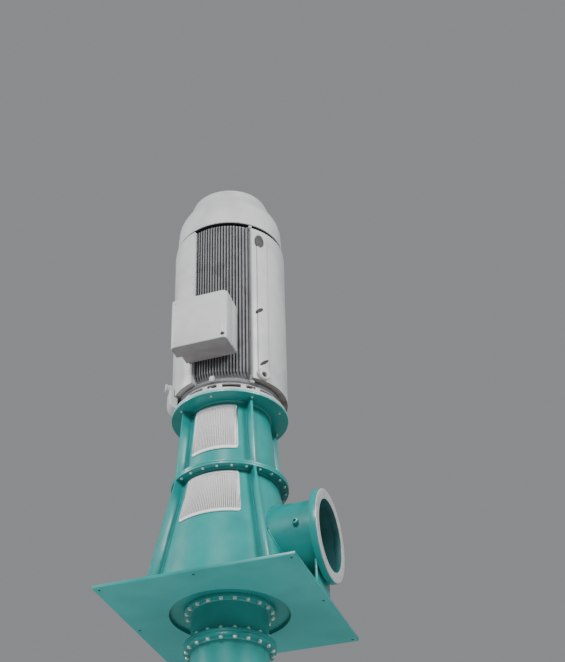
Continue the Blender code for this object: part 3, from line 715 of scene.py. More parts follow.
BOSS_R, BOSS_DEEP, SOCKET_R = 0.024, 0.045, 0.012
boss_x = (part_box("gauge_boss")[0][0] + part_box("gauge_boss")[1][0]) / 2
boss_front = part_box("gauge_boss")[0][1]
sideways = (math.pi / 2, 0.0, 0.0)
boss = open_piece("gauge_boss_socket", "cylinder", vertices=32, radius=BOSS_R, depth=BOSS_DEEP,
                  location=(boss_x, boss_front + BOSS_DEEP / 2, NOZZLE_Z), rotation=sideways)
close_piece(boss, TEAL_ENAMEL, edge=0.002)
cut(boss, open_piece("socket_cutter", "cylinder", vertices=24, radius=SOCKET_R, depth=0.03,
                     location=(boss_x, boss_front, NOZZLE_Z), rotation=sideways))
fit(boss, "machined_steel", "gauge_boss")


# Ribs
# Four plates of 22 mm stand on each cone, in line from the base plate to the motor's flange, and
# are welded all round to the cone and to both flanges.

RIB_THICK, LOWER_RIB_R, UPPER_RIB_R = 0.022, (0.735, 0.4884), (0.485, 0.4355)
RIB_SEAT, RIB_WELD_R, WELD_END = 0.0005, 0.006, 0.004
for level, radius_at, low, high, outer in (("lower", lower_cone_r, base_top, mid_low, LOWER_RIB_R),
                                           ("upper", upper_cone_r, mid_top, top_low, UPPER_RIB_R)):
    for number, turn in enumerate((45, 135, 225, 315), 1):
        outline = [(radius_at(low) + RIB_SEAT, low), (outer[0], low), (outer[1], high),
                   (radius_at(high) + RIB_SEAT, high)]
        rib = close_piece(standing_plate(f"{level}_rib_steel_{number}", outline, turn, RIB_THICK),
                          TEAL_ENAMEL, edge=0.002)
        fit(rib, "teal_enamel", f"{level}_rib_{number}")
        out = outward(turn)
        side = Vector((-out.y, out.x, 0.0)) * RIB_THICK / 2
        runs = []
        for way in (-1, 1):
            foot, head, toe, tip = (
                out * radius + side * way + Vector((0.0, AXIS_Y, height)) for radius, height in (
                    (radius_at(low) + 0.001, low), (radius_at(high) + 0.001, high),
                    (outer[0] - WELD_END, low + 0.001), (outer[1] - WELD_END, high - 0.001)))
            for start, end in ((foot, head), (foot, toe), (head, tip)):
                run = end - start
                weld = open_piece(f"{level}_rib_weld_{number}", "cylinder", vertices=12, radius=RIB_WELD_R,
                                  depth=run.length, location=(start + end) / 2,
                                  rotation=run.to_track_quat("Z", "Y").to_euler())
                runs.append(close_piece(weld, PAINTED_WELD))
        fit(join(*runs), "teal_enamel")


# Guards
# Four panels of galvanised sheet, slit from top to bottom and rolled to the cone, over the windows
# at the front and back. A flat frame of 26 mm is riveted round each.

GUARD_MARGIN, FRAME_WIDE, CORNER = 0.030, 0.026, 0.034
SLOT_PITCH, BRIDGE = 0.0150, 0.0112
SHEET_AWAY, SHEET_THICK, FRAME_AWAY, FRAME_THICK = 0.0022, 0.0022, 0.0052, 0.0035


def galvanised_sheet():
    """Hot-dip galvanised steel: pale and dull, with zinc flowers of 12 mm that are just seen."""
    material, shader, coords = new_finish("galvanised_sheet", 0.50, 0.25)
    flowers = add_node(material, "ShaderNodeTexVoronoi", {"Scale": 85.0}, Vector=coords)
    ramp = add_node(material, "ShaderNodeValToRGB", Fac=flowers.outputs["Color"])
    ramp.color_ramp.elements[0].color = linear("#cfcccb")
    ramp.color_ramp.elements[1].color = linear("#dddad9")
    material.node_tree.links.new(ramp.outputs["Color"], shader.inputs["Base Color"])
    grain(material, shader, flowers.outputs["Distance"], 0.08, 0.0005)
    return material


GALVANISED = galvanised_sheet()
# Flat bar with a coat of sprayed zinc: whiter than the sheet, matt, with grains of 2 mm.
ZINC_STRIP = mottled("zinc_sprayed_strip", 0.55, 30.0, ("#f2f8f7", "#fbfdfd"),
                     grains=(500.0, 2.0, 0.15, 0.0005), metallic=0.1)


def rolled_sheet(name, radius_at, away, low, high, middle):
    """A sheet rolled round the cone, a little away from it, in cells that leave a margin all round."""
    rows = (low, low + GUARD_MARGIN, high - GUARD_MARGIN, high)
    sheet = draw_section(name, [(radius_at(row) + away, row) for row in rows], middle - GUARD_HALF_TURN)
    mean_r = radius_at((low + high) / 2) + away
    margin = GUARD_MARGIN / mean_r
    field = math.radians(2 * GUARD_HALF_TURN) - 2 * margin
    for steps, angle in ((1, margin), (round(field * mean_r / SLOT_PITCH), field), (1, margin)):
        spin_selected(steps, angle)
    return sheet


def pick(piece, kind, wanted):
    """Select the vertices or faces of the piece in hand that pass a test of their place."""
    bpy.ops.mesh.select_mode(type="VERT" if kind == "vertices" else "FACE")
    bpy.ops.mesh.select_all(action="DESELECT")
    bpy.ops.object.mode_set(mode="OBJECT")
    for part in getattr(piece.data, kind):
        place = part.co if kind == "vertices" else part.center
        part.select = wanted(piece.matrix_world @ place)
    bpy.ops.object.mode_set(mode="EDIT")


def from_middle(place, middle):
    """Degrees round the pump's axis from a guard's middle."""
    turn = math.degrees(math.atan2(place.y - AXIS_Y, place.x)) - middle
    return abs((turn + 180) % 360 - 180)


def round_corners(sheet, low, high, middle):
    """Round the four corners of a rolled sheet that is still open."""
    pick(sheet, "vertices", lambda place: min(place.z - low, high - place.z) < 0.001
         and from_middle(place, middle) > GUARD_HALF_TURN - 0.1)
    bpy.ops.mesh.bevel(offset=CORNER, segments=6, affect="VERTICES")


for level, radius_at, (low, high) in (("lower", lower_cone_r, LOWER_GUARD),
                                      ("upper", upper_cone_r, UPPER_GUARD)):
    for side, middle in (("front", GUARD_TURN), ("back", GUARD_TURN + 180)):
        sheet = rolled_sheet(f"{level}_guard_sheet_{side}", radius_at, SHEET_AWAY, low, high, middle)
        inner_turn = GUARD_HALF_TURN - math.degrees(GUARD_MARGIN / radius_at((low + high) / 2))
        pick(sheet, "polygons", lambda place: low + GUARD_MARGIN < place.z < high - GUARD_MARGIN
             and from_middle(place, middle) < inner_turn)
        bpy.ops.mesh.inset(use_individual=True, thickness=BRIDGE / 2)
        bpy.ops.mesh.delete(type="FACE")
        round_corners(sheet, low, high, middle)
        close_piece(sheet, GALVANISED)
        modify(sheet, "SOLIDIFY", thickness=SHEET_THICK, offset=0.0)
        edging = rolled_sheet(f"{level}_guard_frame_{side}", radius_at, FRAME_AWAY, low, high, middle)
        round_corners(edging, low, high, middle)
        bpy.ops.mesh.select_mode(type="FACE")
        bpy.ops.mesh.select_all(action="SELECT")
        bpy.ops.mesh.inset(use_boundary=True, thickness=FRAME_WIDE)
        bpy.ops.mesh.delete(type="FACE")
        close_piece(edging, ZINC_STRIP)
        modify(edging, "SOLIDIFY", thickness=FRAME_THICK, offset=0.0)
        fit(sheet, "guard_mesh", f"{level}_guard_{side}")
        fit(edging, "guard_mesh")


# Shaft line
# Behind the guards: a cast stuffing box with its gland, the turned line shaft, a flanged coupling
# with eight bolts, and the end of the motor's shaft.

SHAFT_FIT_R, SHAFT_CHAMFER = SHAFT_R + 0.0006, 0.002
STUFFING_R, STUFFING_TOP_R, STUFFING_FLANGE_Z = 0.085, 0.115, (0.80, 0.83)
GLAND_Z, GLAND_BOLT_R = (0.885, 0.905), 0.092
COUPLING_R, COUPLING_HUB_R, COUPLING_HALF, COUPLING_BOLT_R = 0.135, 0.078, 0.030, 0.107
low, high = heights("stuffing_box")
(flange_foot, flange_head), (gland_foot, gland_head) = STUFFING_FLANGE_Z, GLAND_Z
stuffing = close_piece(turned("stuffing_box_casting", [
    (SHAFT_FIT_R, low), (STUFFING_R, low), (STUFFING_R, flange_foot - 0.015), (0.092, flange_foot),
    (STUFFING_TOP_R, flange_foot), (STUFFING_TOP_R, flange_head), (0.080, flange_head),
    (0.075, flange_head + 0.008), (0.075, gland_foot), (0.105, gland_foot), (0.105, gland_head),
    (0.062, gland_head), (0.060, high), (SHAFT_FIT_R, high)], steps=64), BARE_IRON, edge=0.002)
fit(stuffing, "cast_iron", "stuffing_box")
bolt_ring("gland_nuts", GLAND_BOLT_R, gland_head, 4, 45.0, 1, stud=True, scale=0.67)

for node in ("line_shaft", "motor_shaft"):
    low, high = heights(node)
    end_r = SHAFT_R - SHAFT_CHAMFER
    shaft = turned(f"{node}_steel", [(0, low), (end_r, low), (SHAFT_R, low + SHAFT_CHAMFER),
                                     (SHAFT_R, high - SHAFT_CHAMFER), (end_r, high), (0, high)], steps=64)
    fit(close_piece(shaft, TURNED_STEEL), "machined_steel", node)

low, high = heights("shaft_coupling")
joint, hub, half = (low + high) / 2, COUPLING_HUB_R, COUPLING_HALF
coupling = turned("coupling_steel", [
    (SHAFT_FIT_R, low), (hub - 0.004, low), (hub, low + 0.004), (hub, joint - half - 0.004),
    (hub + 0.004, joint - half), (COUPLING_R, joint - half), (COUPLING_R, joint - 0.0015),
    (COUPLING_R - 0.004, joint), (COUPLING_R, joint + 0.0015), (COUPLING_R, joint + half),
    (hub + 0.004, joint + half), (hub, joint + half + 0.004), (hub, high - 0.004), (hub - 0.004, high),
    (SHAFT_FIT_R, high)], steps=64)
fit(close_piece(coupling, TURNED_STEEL), "machined_steel", "shaft_coupling")
bolt_ring("coupling_nuts", COUPLING_BOLT_R, joint + half, 8, 22.5, 1, stud=True, scale=0.8)
bolt_ring("coupling_bolts", COUPLING_BOLT_R, joint - half, 8, 22.5, -1, scale=0.8)


# Motor base ring
# A grey-iron ring between the head and the motor: slots all round let its bolts be reached and the
# cooling air out. It is painted grey outside, its band above the slots in a darker grey as painted
# shade, and in red primer inside, made dark as painted shade.

RING_R, WALL_R, RING_RIM_R, RING_BORE_R, RING_WALL = 0.490, 0.430, 0.447, 0.32, 0.025
SLOT_LOW, SLOT_HIGH, WIDE_SLOT, NARROW_SLOT, SLOTS = 1.842, 1.904, 21.5, 11.5, 16
RING_TOP, CEILING, RING_NUT_R, SLOT_REACH = 1.832, 1.922, 0.458, (0.35, 0.60)

# Light grey enamel on iron and sheet steel: smooth, half gloss, with a fine orange peel.
GREY_ENAMEL = mottled("sprayed_grey_enamel", 0.40, 2.2, ("#bfc0c2", "#c8c9c9", "#babbbd"),
                      (8.0, 0.36, 0.46), (140.0, 2.0, 0.08, 0.0015), Coat_Weight=0.1, Coat_Roughness=0.15)
# Red oxide primer, brushed on and left, made dark as painted shade for the ring's inside: flat, with dust in
# it.
RED_PRIMER_AND_SHADE = mottled("red_primer_and_painted_shade", 0.85, 12.0, ("#6a4243", "#7a4e4c", "#5a3838"),
                     grains=(300.0, 4.0, 0.2, 0.001))
# Grey enamel made darker as painted shade, for the fins and the band under them: flat, a bit sandy.
SHADED_GREY = mottled("painted_shade_grey", 0.70, 5.0, ("#747577", "#7e7f81", "#6b6b6c"),
                      grains=(260.0, 3.0, 0.2, 0.001))

low, high = heights("motor_base_ring")
ring = close_piece(turned("motor_base_ring_casting", [
    (RING_BORE_R, low), (RING_R, low), (RING_R, RING_TOP), (WALL_R + 0.006, RING_TOP),
    (WALL_R, RING_TOP + 0.005), (WALL_R, SLOT_HIGH + 0.004), (RING_RIM_R, CEILING), (RING_RIM_R, high),
    (RING_BORE_R, high), (RING_BORE_R, CEILING), (WALL_R - RING_WALL, CEILING),
    (WALL_R - RING_WALL, RING_TOP), (RING_BORE_R, RING_TOP)], steps=FINE_STEPS), GREY_ENAMEL, edge=0.002)
for number in range(SLOTS):
    middle, half = 360 / SLOTS * number, (NARROW_SLOT if number % 2 == 0 else WIDE_SLOT) / 2
    (inner, outer), turns = SLOT_REACH, (middle - half, middle + half)
    slot = [(inner, SLOT_LOW), (outer, SLOT_LOW), (outer, SLOT_HIGH), (inner, SLOT_HIGH)]
    cut(ring, turned("slot_cutter", slot, turns=turns, steps=8), edge=0.010, rounds=4)
# The ring's inside in the red primer: its red is the primer, its darkness painted shade.
paint_some(ring, RED_PRIMER_AND_SHADE, lambda place, way: from_axis(place) < WALL_R - 0.020
           and low + 0.002 < place.z < high - 0.002)
# The band above the slots in the darker grey: painted shade under the fins.
paint_some(ring, SHADED_GREY, lambda place, way: place.z > SLOT_HIGH + 0.006 and way.z < 0.9
           and from_axis(place) > WALL_R - 0.001)
fit(ring, "motor_grey_enamel", "motor_base_ring")
bolt_ring("ring_nuts", RING_NUT_R, RING_TOP, 8, 0.0, 1, stud=True)


# Motor frame
# A cast frame with upright cooling fins at the front and back, all cast parallel for the mould. Their
# feet slant in to the end shield, their tops are chamfered under the hood.

FRAME_R, FIN_FLOOR_R, FIN_TIP_R = 0.467, 0.422, 0.466
FIN_PITCH, FIN_THICK, FIN_COUNT, FIRST_FIN, FIN_DRAFT = 0.0248, 0.010, 20, -0.153, 0.0018
FIN_TOE, FIN_TOE_RISE, FIN_HEEL, FIN_CHAMFER = 2.01, 0.050, 1.968, 0.018
NECK_HALF, NECK_DEEP, NECK_Z = 0.130, 0.0593, (2.25, 2.55)
PAST = 0.01
CUT_R = 0.52


def fin_plan(turned_round):
    """Plan of the front fins from -X to +X and on towards the back ones, or of the back half."""
    way = -1 if turned_round else 1
    points = []
    for middle in [FIRST_FIN + FIN_PITCH * number for number in range(FIN_COUNT)]:
        root = -math.sqrt(FIN_FLOOR_R ** 2 - middle ** 2)
        left, right = middle - FIN_THICK / 2, middle + FIN_THICK / 2
        points += [(left - FIN_DRAFT, root), (left, -math.sqrt(FIN_TIP_R ** 2 - left * left)),
                   (right, -math.sqrt(FIN_TIP_R ** 2 - right * right)), (right + FIN_DRAFT, root)]
    first, last = (math.atan2(points[end][1], points[end][0]) for end in (0, -1))
    bare = [last + (math.pi + first - last) * step / 16 for step in range(1, 16)]
    points += [(FIN_FLOOR_R * math.cos(turn), FIN_FLOOR_R * math.sin(turn)) for turn in bare]
    return [(way * x, AXIS_Y + way * y) for x, y in points]


low, high = heights("motor_frame")
motor_low = low
# The frame in the darker grey: painted shade between and under the fins.
motor = close_piece(drawn("motor_frame_casting", [(x, y, low) for x, y in fin_plan(False) + fin_plan(True)],
                          (0, 0, high - low)), SHADED_GREY)
cut(motor, turned("fin_toe_cutter", [
    (FIN_FLOOR_R - 0.002, low - PAST), (CUT_R, low - PAST), (CUT_R, FIN_TOE + FIN_TOE_RISE),
    (FRAME_R, FIN_TOE), (FIN_FLOOR_R - 0.002, FIN_HEEL)], steps=FINE_STEPS))
cut(motor, turned("fin_top_cutter", [
    (FRAME_R - FIN_CHAMFER, high + PAST), (FRAME_R - FIN_CHAMFER, high),
    (FRAME_R + PAST, high - FIN_CHAMFER - PAST), (CUT_R, high + PAST)], steps=FINE_STEPS))
BOX_LOW, BOX_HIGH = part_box("terminal_box")
BOX_BACK = BOX_HIGH[1] - NECK_DEEP
BOX_GAP = 0.0005


def slab(name, low, high):
    """A block between two corners, left open for shaping."""
    low, high = Vector(low), Vector(high)
    return open_piece(name, "cube", size=1.0, location=(low + high) / 2, scale=high - low)


def box_seat():
    """The room that the terminal box takes in front of the frame, as a cutter."""
    return slab("box_seat_cutter", (BOX_LOW[0] - BOX_GAP, BOX_BACK - 0.4, BOX_LOW[2] - BOX_GAP),
                (BOX_HIGH[0] + BOX_GAP, BOX_BACK, BOX_HIGH[2] + BOX_GAP))


cut(motor, box_seat())
cut(motor, slab("neck_seat_cutter", (-NECK_HALF, BOX_BACK - 0.05, NECK_Z[0]),
                (NECK_HALF, BOX_HIGH[1], NECK_Z[1])))
# The chamfered fin tops keep the plain enamel, out of the painted shade.
paint_some(motor, GREY_ENAMEL, lambda place, way: place.z > high - FIN_CHAMFER - 0.02 and 0.3 < way.z < 0.99)
fit(motor, "motor_grey_enamel", "motor_frame")

LUG_WIDE, LUG_FLOOR_R = 0.036, FIN_FLOOR_R + 0.0015
lug_in, lug_out = RING_RIM_R + 0.0005, FRAME_R - 0.0005
under_fins = [(lug_out, low + 0.020), (0.440, low + 0.047), (LUG_FLOOR_R, low + 0.047),
              (LUG_FLOOR_R, low + 0.0006), (lug_in, low + 0.0006)]
under_cover = [(lug_out, low - 0.001), (lug_in, low - 0.001)]
lugs = []
for turn, upper in ((-89, under_fins), (-45, under_cover), (91, under_fins), (135, under_cover)):
    outline = [(lug_in, low - 0.027), (lug_out, low - 0.020), *upper]
    lugs.append(close_piece(standing_plate(f"frame_lug_{turn}", outline, turn, LUG_WIDE), GREY_ENAMEL,
                            edge=0.004, rounds=3))
fit(join(*lugs), "motor_grey_enamel")


# Air covers
# Two covers of 3 mm pressed steel close the motor's sides and lead the fan's air down over the
# frame, with a floor set in from their lower edge. A raised duct on the right one takes the cables,
# between a rubber plug above and a round boss for a sensor below.

COVER_R, COVER_TURNS, COVER_SHEET, FLOOR_IN = 0.500, (-46.5, 70.0), 0.003, 0.007
COVER_TOP_IN, COVER_SHOULDER, COVER_IN_R = 0.014, 0.082, FIN_FLOOR_R + 0.0005
DUCT_TURNS, DUCT_RISE, DUCT_SLOPE = (-41.0, -28.8), 0.014, 0.012

# The same grey enamel on the right cover's floor, darker and browner: painted shade under the cover.
SHADED_FLOOR_GREY = mottled("painted_shade_cover_floor", 0.65, 7.0, ("#8b8880", "#9a978f", "#7f7a71"),
                       grains=(240.0, 4.0, 0.15, 0.001))

for side, half_turn in (("right", 0), ("left", 180)):
    node = f"motor_cover_{side}"
    low, high = heights(node)
    high -= COVER_TOP_IN
    floor, skin = low + FLOOR_IN, COVER_R - COVER_SHEET
    shoulder = [(COVER_R - 0.0095 * share ** 2, high - COVER_SHOULDER + COVER_SHOULDER * share)
                for share in (0, 0.25, 0.5, 0.75, 0.9)]
    cover = turned(f"{node}_sheet", [
        (COVER_IN_R, floor), (skin, floor), (skin, low), (COVER_R, low), *shoulder, (COVER_R - 0.012, high),
        (COVER_IN_R, high)], turns=[turn + half_turn for turn in COVER_TURNS], steps=48)
    close_piece(cover, GREY_ENAMEL, edge=0.001)
    if side == "right":
        # The floor's underside in the darker brownish grey: painted shade.
        paint_some(cover, SHADED_FLOOR_GREY, lambda place, way: place.z < floor + 0.001 and way.z < -0.9
                   and from_axis(place) < skin)
    cut(cover, box_seat())
    fit(cover, "motor_grey_enamel", node)

low, high = heights("cable_duct")
duct_in, duct_out = COVER_R + 0.0004, COVER_R + DUCT_RISE
duct = turned("cable_duct_sheet", [
    (duct_in, low), (duct_out, low + DUCT_SLOPE), (duct_out, high - DUCT_SLOPE), (duct_in, high)],
    turns=DUCT_TURNS, steps=10)
fit(close_piece(duct, GREY_ENAMEL, edge=0.006, rounds=4), "motor_grey_enamel", "cable_duct")


def moulded_plastic(name, *shades):
    """Moulded plastic: matt, with the fine spark-eroded grain of its mould."""
    return mottled(name, 0.55, 30.0, shades, grains=(900.0, 2.0, 0.15, 0.0004))


# Black plastic for the clamp, gasket and lock; the same black is painted shade in the hood's air gap and on
# the duct's slot.
BLACK_PLASTIC_AND_SHADE = moulded_plastic("black_plastic_and_painted_shade", "#1d1e20", "#26272a", "#191a1b")
# Dark grey plastic: on the cover's plug partly its own grey, partly painted shade; in the sensor boss's bore
# painted shade.
GREY_PLASTIC_AND_SHADE = moulded_plastic("grey_plastic_and_painted_shade", "#3c3c3e", "#454547", "#363637")


def radial_round(name, radius, turn, height, inner, outer, vertices=32, tall=1.0, tilt=0.0):
    """A bar that points away from the pump's axis, round or an oval tilted by some degrees, left open."""
    way = math.radians(turn)
    middle = (inner + outer) / 2
    facing = (Matrix.Rotation(way, 3, "Z") @ Matrix.Rotation(math.pi / 2, 3, "Y")
              @ Matrix.Rotation(math.radians(tilt), 3, "Z")).to_euler()
    return open_piece(name, "cylinder", vertices=vertices, radius=radius, depth=outer - inner,
                      location=(middle * math.cos(way), AXIS_Y + middle * math.sin(way), height),
                      rotation=facing, scale=(tall, 1.0, 1.0))


IN_COVER, PLUG_OUT, MARK_OUT = COVER_R - 0.004, COVER_R + 0.016, COVER_R + 0.0165
plug = close_piece(radial_round("cover_plug", 0.046, -38.0, 3.435, IN_COVER, PLUG_OUT, tall=1.6),
                   GREY_PLASTIC_AND_SHADE, edge=0.009, rounds=4)
clamp = close_piece(radial_round("duct_clamp", 0.042, -39.0, 2.657, IN_COVER, MARK_OUT, 24, 0.40, 42.0),
                    BLACK_PLASTIC_AND_SHADE, edge=0.002)
# A flat black oval on the cover: painted shade standing for a dark slot.
gap = close_piece(radial_round("duct_gap", 0.058, -34.8, 2.120, IN_COVER, MARK_OUT, 24, 0.24, 42.0),
                  BLACK_PLASTIC_AND_SHADE, edge=0.001)
fit(join(plug, clamp, gap), "black_plastic")

SENSOR_R, SENSOR_TURN, SENSOR_Z, SENSOR_BORE_R = 0.056, -35.5, 1.998, 0.028
sensor_boss = close_piece(radial_round("cover_sensor_boss", SENSOR_R, SENSOR_TURN, SENSOR_Z, COVER_R - 0.006,
                                       COVER_R + 0.034), GREY_ENAMEL, edge=0.012, rounds=4)
cut(sensor_boss, radial_round("sensor_bore_cutter", SENSOR_BORE_R, SENSOR_TURN - 0.6, SENSOR_Z - 0.014,
                              COVER_R + 0.006, COVER_R + 0.06, 24))
# The inside of the boss's bore in the dark grey: painted shade in the recess.
paint_some(sensor_boss, GREY_PLASTIC_AND_SHADE, lambda place, way: from_axis(place) < COVER_R + 0.010
           and place.z > SENSOR_Z - 0.06)
fit(sensor_boss, "motor_grey_enamel")


# Drain box
# A cast box at the left cover's foot, with a short lifting pin and its collar above it. Both are
# painted grey with the frame.

DRAIN_TURN, PIN_R, PIN_END, PIN_COLLAR = -148.5, 0.036, 0.567, 0.018
DRAIN_R, DRAIN_WIDE, DRAIN_FLAT, DRAIN_GAP = 0.539, 0.150, 0.4998, 0.0006
pin_z = sum(heights("lifting_pin")) / 2
pin = close_piece(radial_round("lifting_pin_bar", PIN_R - 0.007, DRAIN_TURN, pin_z, COVER_R - 0.012,
                               PIN_END - 0.012), GREY_ENAMEL, edge=0.003, rounds=3)
collar = close_piece(radial_round("lifting_pin_collar", PIN_R, DRAIN_TURN, pin_z, PIN_END - PIN_COLLAR,
                                  PIN_END), GREY_ENAMEL, edge=0.005, rounds=3)
fit(join(pin, collar), "motor_grey_enamel", "lifting_pin")

low, high = heights("drain_box")
drain = standing_plate("drain_box_casting", [
    (FRAME_R + DRAIN_GAP, low), (RING_R - 0.002, low), (DRAIN_R - 0.030, low + 0.014),
    (DRAIN_R - 0.012, low + 0.035), (DRAIN_R - 0.003, low + 0.062), (DRAIN_R, low + 0.090),
    (DRAIN_R, high - 0.010), (DRAIN_R - 0.010, high), (DRAIN_FLAT, high), (DRAIN_FLAT, motor_low - DRAIN_GAP),
    (FRAME_R + DRAIN_GAP, motor_low - DRAIN_GAP)], DRAIN_TURN, DRAIN_WIDE)
fit(close_piece(drain, GREY_ENAMEL, edge=0.008, rounds=4), "motor_grey_enamel", "drain_box")


# Terminal box
# A pressed steel box on the front of the frame with a gland plate below. Its deep lid is wider than
# the box, has rounded corners, and is held by three screws and a dark lock.

LID_CORNER, BOX_CORNER, GLAND_PLATE, PLATE_GROOVE = 0.040, 0.014, 0.010, 0.003
LID_LOW, LID_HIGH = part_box("terminal_box_lid")
SCREW_IN, SCREW_R, LOCK_IN, LOCK_UP, LOCK_R = 0.046, 0.006, 0.033, 0.040, 0.016

# Grey darker than the enamel, flat, a bit sandy: painted shade on the terminal box's undersides.
SHADED_UNDERSIDE_GREY = mottled("painted_shade_underside_grey", 0.70, 5.0, ("#978f90", "#9e9697", "#908889"),
                    grains=(260.0, 3.0, 0.2, 0.001))

foot, plate_head = BOX_LOW[2] + GLAND_PLATE + PLATE_GROOVE, BOX_LOW[2] + GLAND_PLATE
# The gland plate gets the darker grey: painted shade under the box.
layers = [close_piece(slab(name, (BOX_LOW[0] + back, BOX_LOW[1] + back, low),
                           (BOX_HIGH[0] - back, BOX_BACK - back, high)), material, edge=edge, rounds=4)
          for name, back, low, high, edge, material in (
              ("terminal_box_body", 0.0, foot, BOX_HIGH[2], BOX_CORNER, GREY_ENAMEL),
              ("gland_plate", 0.003, BOX_LOW[2], plate_head, 0.003, SHADED_UNDERSIDE_GREY),
              ("gland_gasket", 0.012, plate_head - 0.001, foot + 0.002, 0.0005, BLACK_PLASTIC_AND_SHADE))]
neck = close_piece(slab("terminal_box_neck", (-NECK_HALF + 0.001, BOX_BACK - 0.02, NECK_Z[0] + 0.001),
                        (NECK_HALF - 0.001, BOX_HIGH[1] - 0.001, NECK_Z[1] - 0.001)),
                   GREY_ENAMEL, edge=0.004, rounds=4)
fit(join(*layers, neck), "motor_grey_enamel", "terminal_box")

(left, front, foot), (right, back, head) = LID_LOW, LID_HIGH
lid_plan = [(right, back, foot), (left, back, foot)]
for middle, start in ((left + LID_CORNER, math.pi), (right - LID_CORNER, 1.5 * math.pi)):
    for turn in [start + math.pi / 2 * step / 8 for step in range(9)]:
        x, y = middle + LID_CORNER * math.cos(turn), front + LID_CORNER * (1 + math.sin(turn))
        lid_plan.append((x, y, foot))
lid = drawn("terminal_box_cover", lid_plan, (0, 0, head - foot))
close_piece(lid, GREY_ENAMEL, edge=0.012, rounds=4)
# The lid's underside in the darker grey: painted shade.
paint_some(lid, SHADED_UNDERSIDE_GREY, lambda place, way: way.z < -0.8)
fit(lid, "motor_grey_enamel", "terminal_box_lid")

screws = []
for x, z, radius, material in ((right - LOCK_IN, foot + LOCK_UP, LOCK_R, BLACK_PLASTIC_AND_SHADE),
                               (left + SCREW_IN, foot + SCREW_IN, SCREW_R, GREY_ENAMEL),
                               (left + SCREW_IN, head - SCREW_IN, SCREW_R, GREY_ENAMEL),
                               (right - SCREW_IN, head - SCREW_IN, SCREW_R, GREY_ENAMEL)):
    screw = open_piece("lid_screws", "cylinder", vertices=20, radius=radius, depth=0.008,
                       location=(x, front, z), rotation=sideways)
    screws.append(close_piece(screw, material, edge=0.0015))
fit(join(*screws), "black_plastic")


# Fan hood
# A spun steel hood stands on four lugs over the fan, with a rolled rim, a dark gap under it for the
# air, and a flat rain cap on its crown.

HOOD_RIM_R, HOOD_RIM_Z, HOOD_SEAT_R, HOOD_TOP_R = 0.481, 3.629, 0.400, 0.335
HOOD_CROWN = ((0.4793, 3.70), (0.4741, 3.78), (0.4638, 3.86), (0.4336, 3.93), (0.3995, 3.99), (0.3758, 4.04),
              (0.3596, 4.09))
LUG_IN, LUG_OUT, HOOD_LUG_WIDE = HOOD_SEAT_R + 0.001, HOOD_RIM_R - 0.014, 0.028
CAP_R, CAP_RIM = 0.346, 0.018


def smooth_run(points, steps=5):
    """Points on a smooth curve through the given (radius, height) points."""
    run = []
    for number in range(len(points) - 1):
        before, here = points[max(number - 1, 0)], points[number]
        there, after = points[number + 1], points[min(number + 2, len(points) - 1)]
        for share in [step / steps for step in range(steps)]:
            run.append(tuple(0.5 * (2 * b + (c - a) * share + (2 * a - 5 * b + 4 * c - d) * share ** 2
                                    + (3 * b - a - 3 * c + d) * share ** 3)
                             for a, b, c, d in zip(before, here, there, after)))
    return run + [points[-1]]


low, high = heights("fan_hood")
hood = close_piece(turned("fan_hood_steel", [
    (0, low), (HOOD_SEAT_R, low), (HOOD_SEAT_R, HOOD_RIM_Z + 0.004), (HOOD_RIM_R - 0.012, HOOD_RIM_Z + 0.004),
    (HOOD_RIM_R - 0.010, HOOD_RIM_Z), (HOOD_RIM_R - 0.003, HOOD_RIM_Z), (HOOD_RIM_R, HOOD_RIM_Z + 0.003),
    *smooth_run(HOOD_CROWN), (HOOD_TOP_R, high), (0, high)], steps=FINE_STEPS), GREY_ENAMEL)
# The hood's seat and the underside of its rim in black: painted shade in the air gap.
paint_some(hood, BLACK_PLASTIC_AND_SHADE, lambda place, way: place.z < HOOD_RIM_Z + 0.0045
           and from_axis(place) < HOOD_RIM_R - 0.009)
fit(hood, "motor_grey_enamel", "fan_hood")

lug_plan = [(LUG_IN, low + 0.002), (LUG_OUT, low + 0.002), (LUG_OUT, HOOD_RIM_Z + 0.003),
            (LUG_IN, HOOD_RIM_Z + 0.003)]
hood_lugs = [close_piece(standing_plate(f"hood_lug_{turn}", lug_plan, turn, HOOD_LUG_WIDE), GREY_ENAMEL,
                         edge=0.003) for turn in (-46, 44, 134, 224)]
fit(join(*hood_lugs), "motor_grey_enamel")

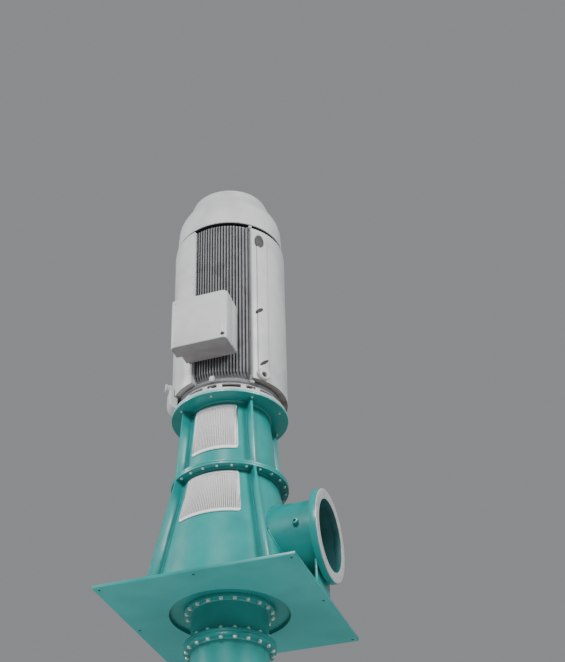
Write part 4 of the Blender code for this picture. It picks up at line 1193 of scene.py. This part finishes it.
low, high = heights("hood_cap")
cap = turned("hood_cap_steel", [
    (0, low), (CAP_R - 0.003, low), (CAP_R, low + 0.003), (CAP_R, low + CAP_RIM),
    (CAP_R - 0.002, low + CAP_RIM + 0.005), (CAP_R - 0.008, low + CAP_RIM + 0.009), (0.26, high - 0.006),
    (0.14, high - 0.002), (0, high)], steps=FINE_STEPS)
fit(close_piece(cap, GREY_ENAMEL), "motor_grey_enamel", "hood_cap")


# Camera
# At the photograph's angle: low in front of the pump, a little to its right, looking up.

camera = bpy.data.objects.new("camera", bpy.data.cameras.new("camera"))
bpy.context.scene.collection.objects.link(camera)
camera.location = (3.6801, -9.0863, -4.8134)
camera.rotation_euler = (math.pi / 2 + 0.6292265, 0.0, 0.3615861)
camera.data.lens = 78.09
camera.data.sensor_width = 36.0
camera.data.shift_x = 0.0794
camera.data.clip_end = 200.0
bpy.context.scene.camera = camera


# Floor and light
# A plain pale floor below the camera, soft lights from the left, right and front, and two weak low ones.

FLOOR_Z, FLOOR_SIZE = -5.25, 60.0
floor = open_piece("studio_floor", "plane", size=FLOOR_SIZE, location=(0.0, 0.0, FLOOR_Z))
# Pale matt floor paint, all of one tone, so that nothing on it draws the eye.
floor_paint, floor_shader, _ = new_finish("pale_floor", 0.9)
floor_shader.inputs["Base Color"].default_value = linear("#c9c9c7")
close_piece(floor, floor_paint)

world = bpy.data.worlds.new("pale_room")
bpy.context.scene.world = world
world.use_nodes = True
world.node_tree.nodes["Background"].inputs["Color"].default_value = linear("#dfe2e4")
world.node_tree.nodes["Background"].inputs["Strength"].default_value = 0.36

for name, place, aim_z, size, watts in (
        ("left", (-8.5, -3.5, 5.0), 1.5, 3.0, 640.0), ("right", (8.5, -2.5, 5.5), 1.5, 3.0, 700.0),
        ("front", (1.0, -9.0, 6.0), 1.5, 2.5, 800.0), ("low_left", (-3.5, -1.5, -4.2), 0.0, 2.5, 36.0),
        ("low_right", (4.0, -0.5, -4.2), 0.0, 2.5, 40.0)):
    lamp = bpy.data.objects.new(name, bpy.data.lights.new(name, "AREA"))
    lamp.data.shape = "DISK"
    lamp.data.size = size
    lamp.data.energy = watts
    lamp.location = place
    lamp.rotation_euler = (Vector((0.0, AXIS_Y, aim_z)) - Vector(place)).to_track_quat("-Z", "Y").to_euler()
    bpy.context.scene.collection.objects.link(lamp)
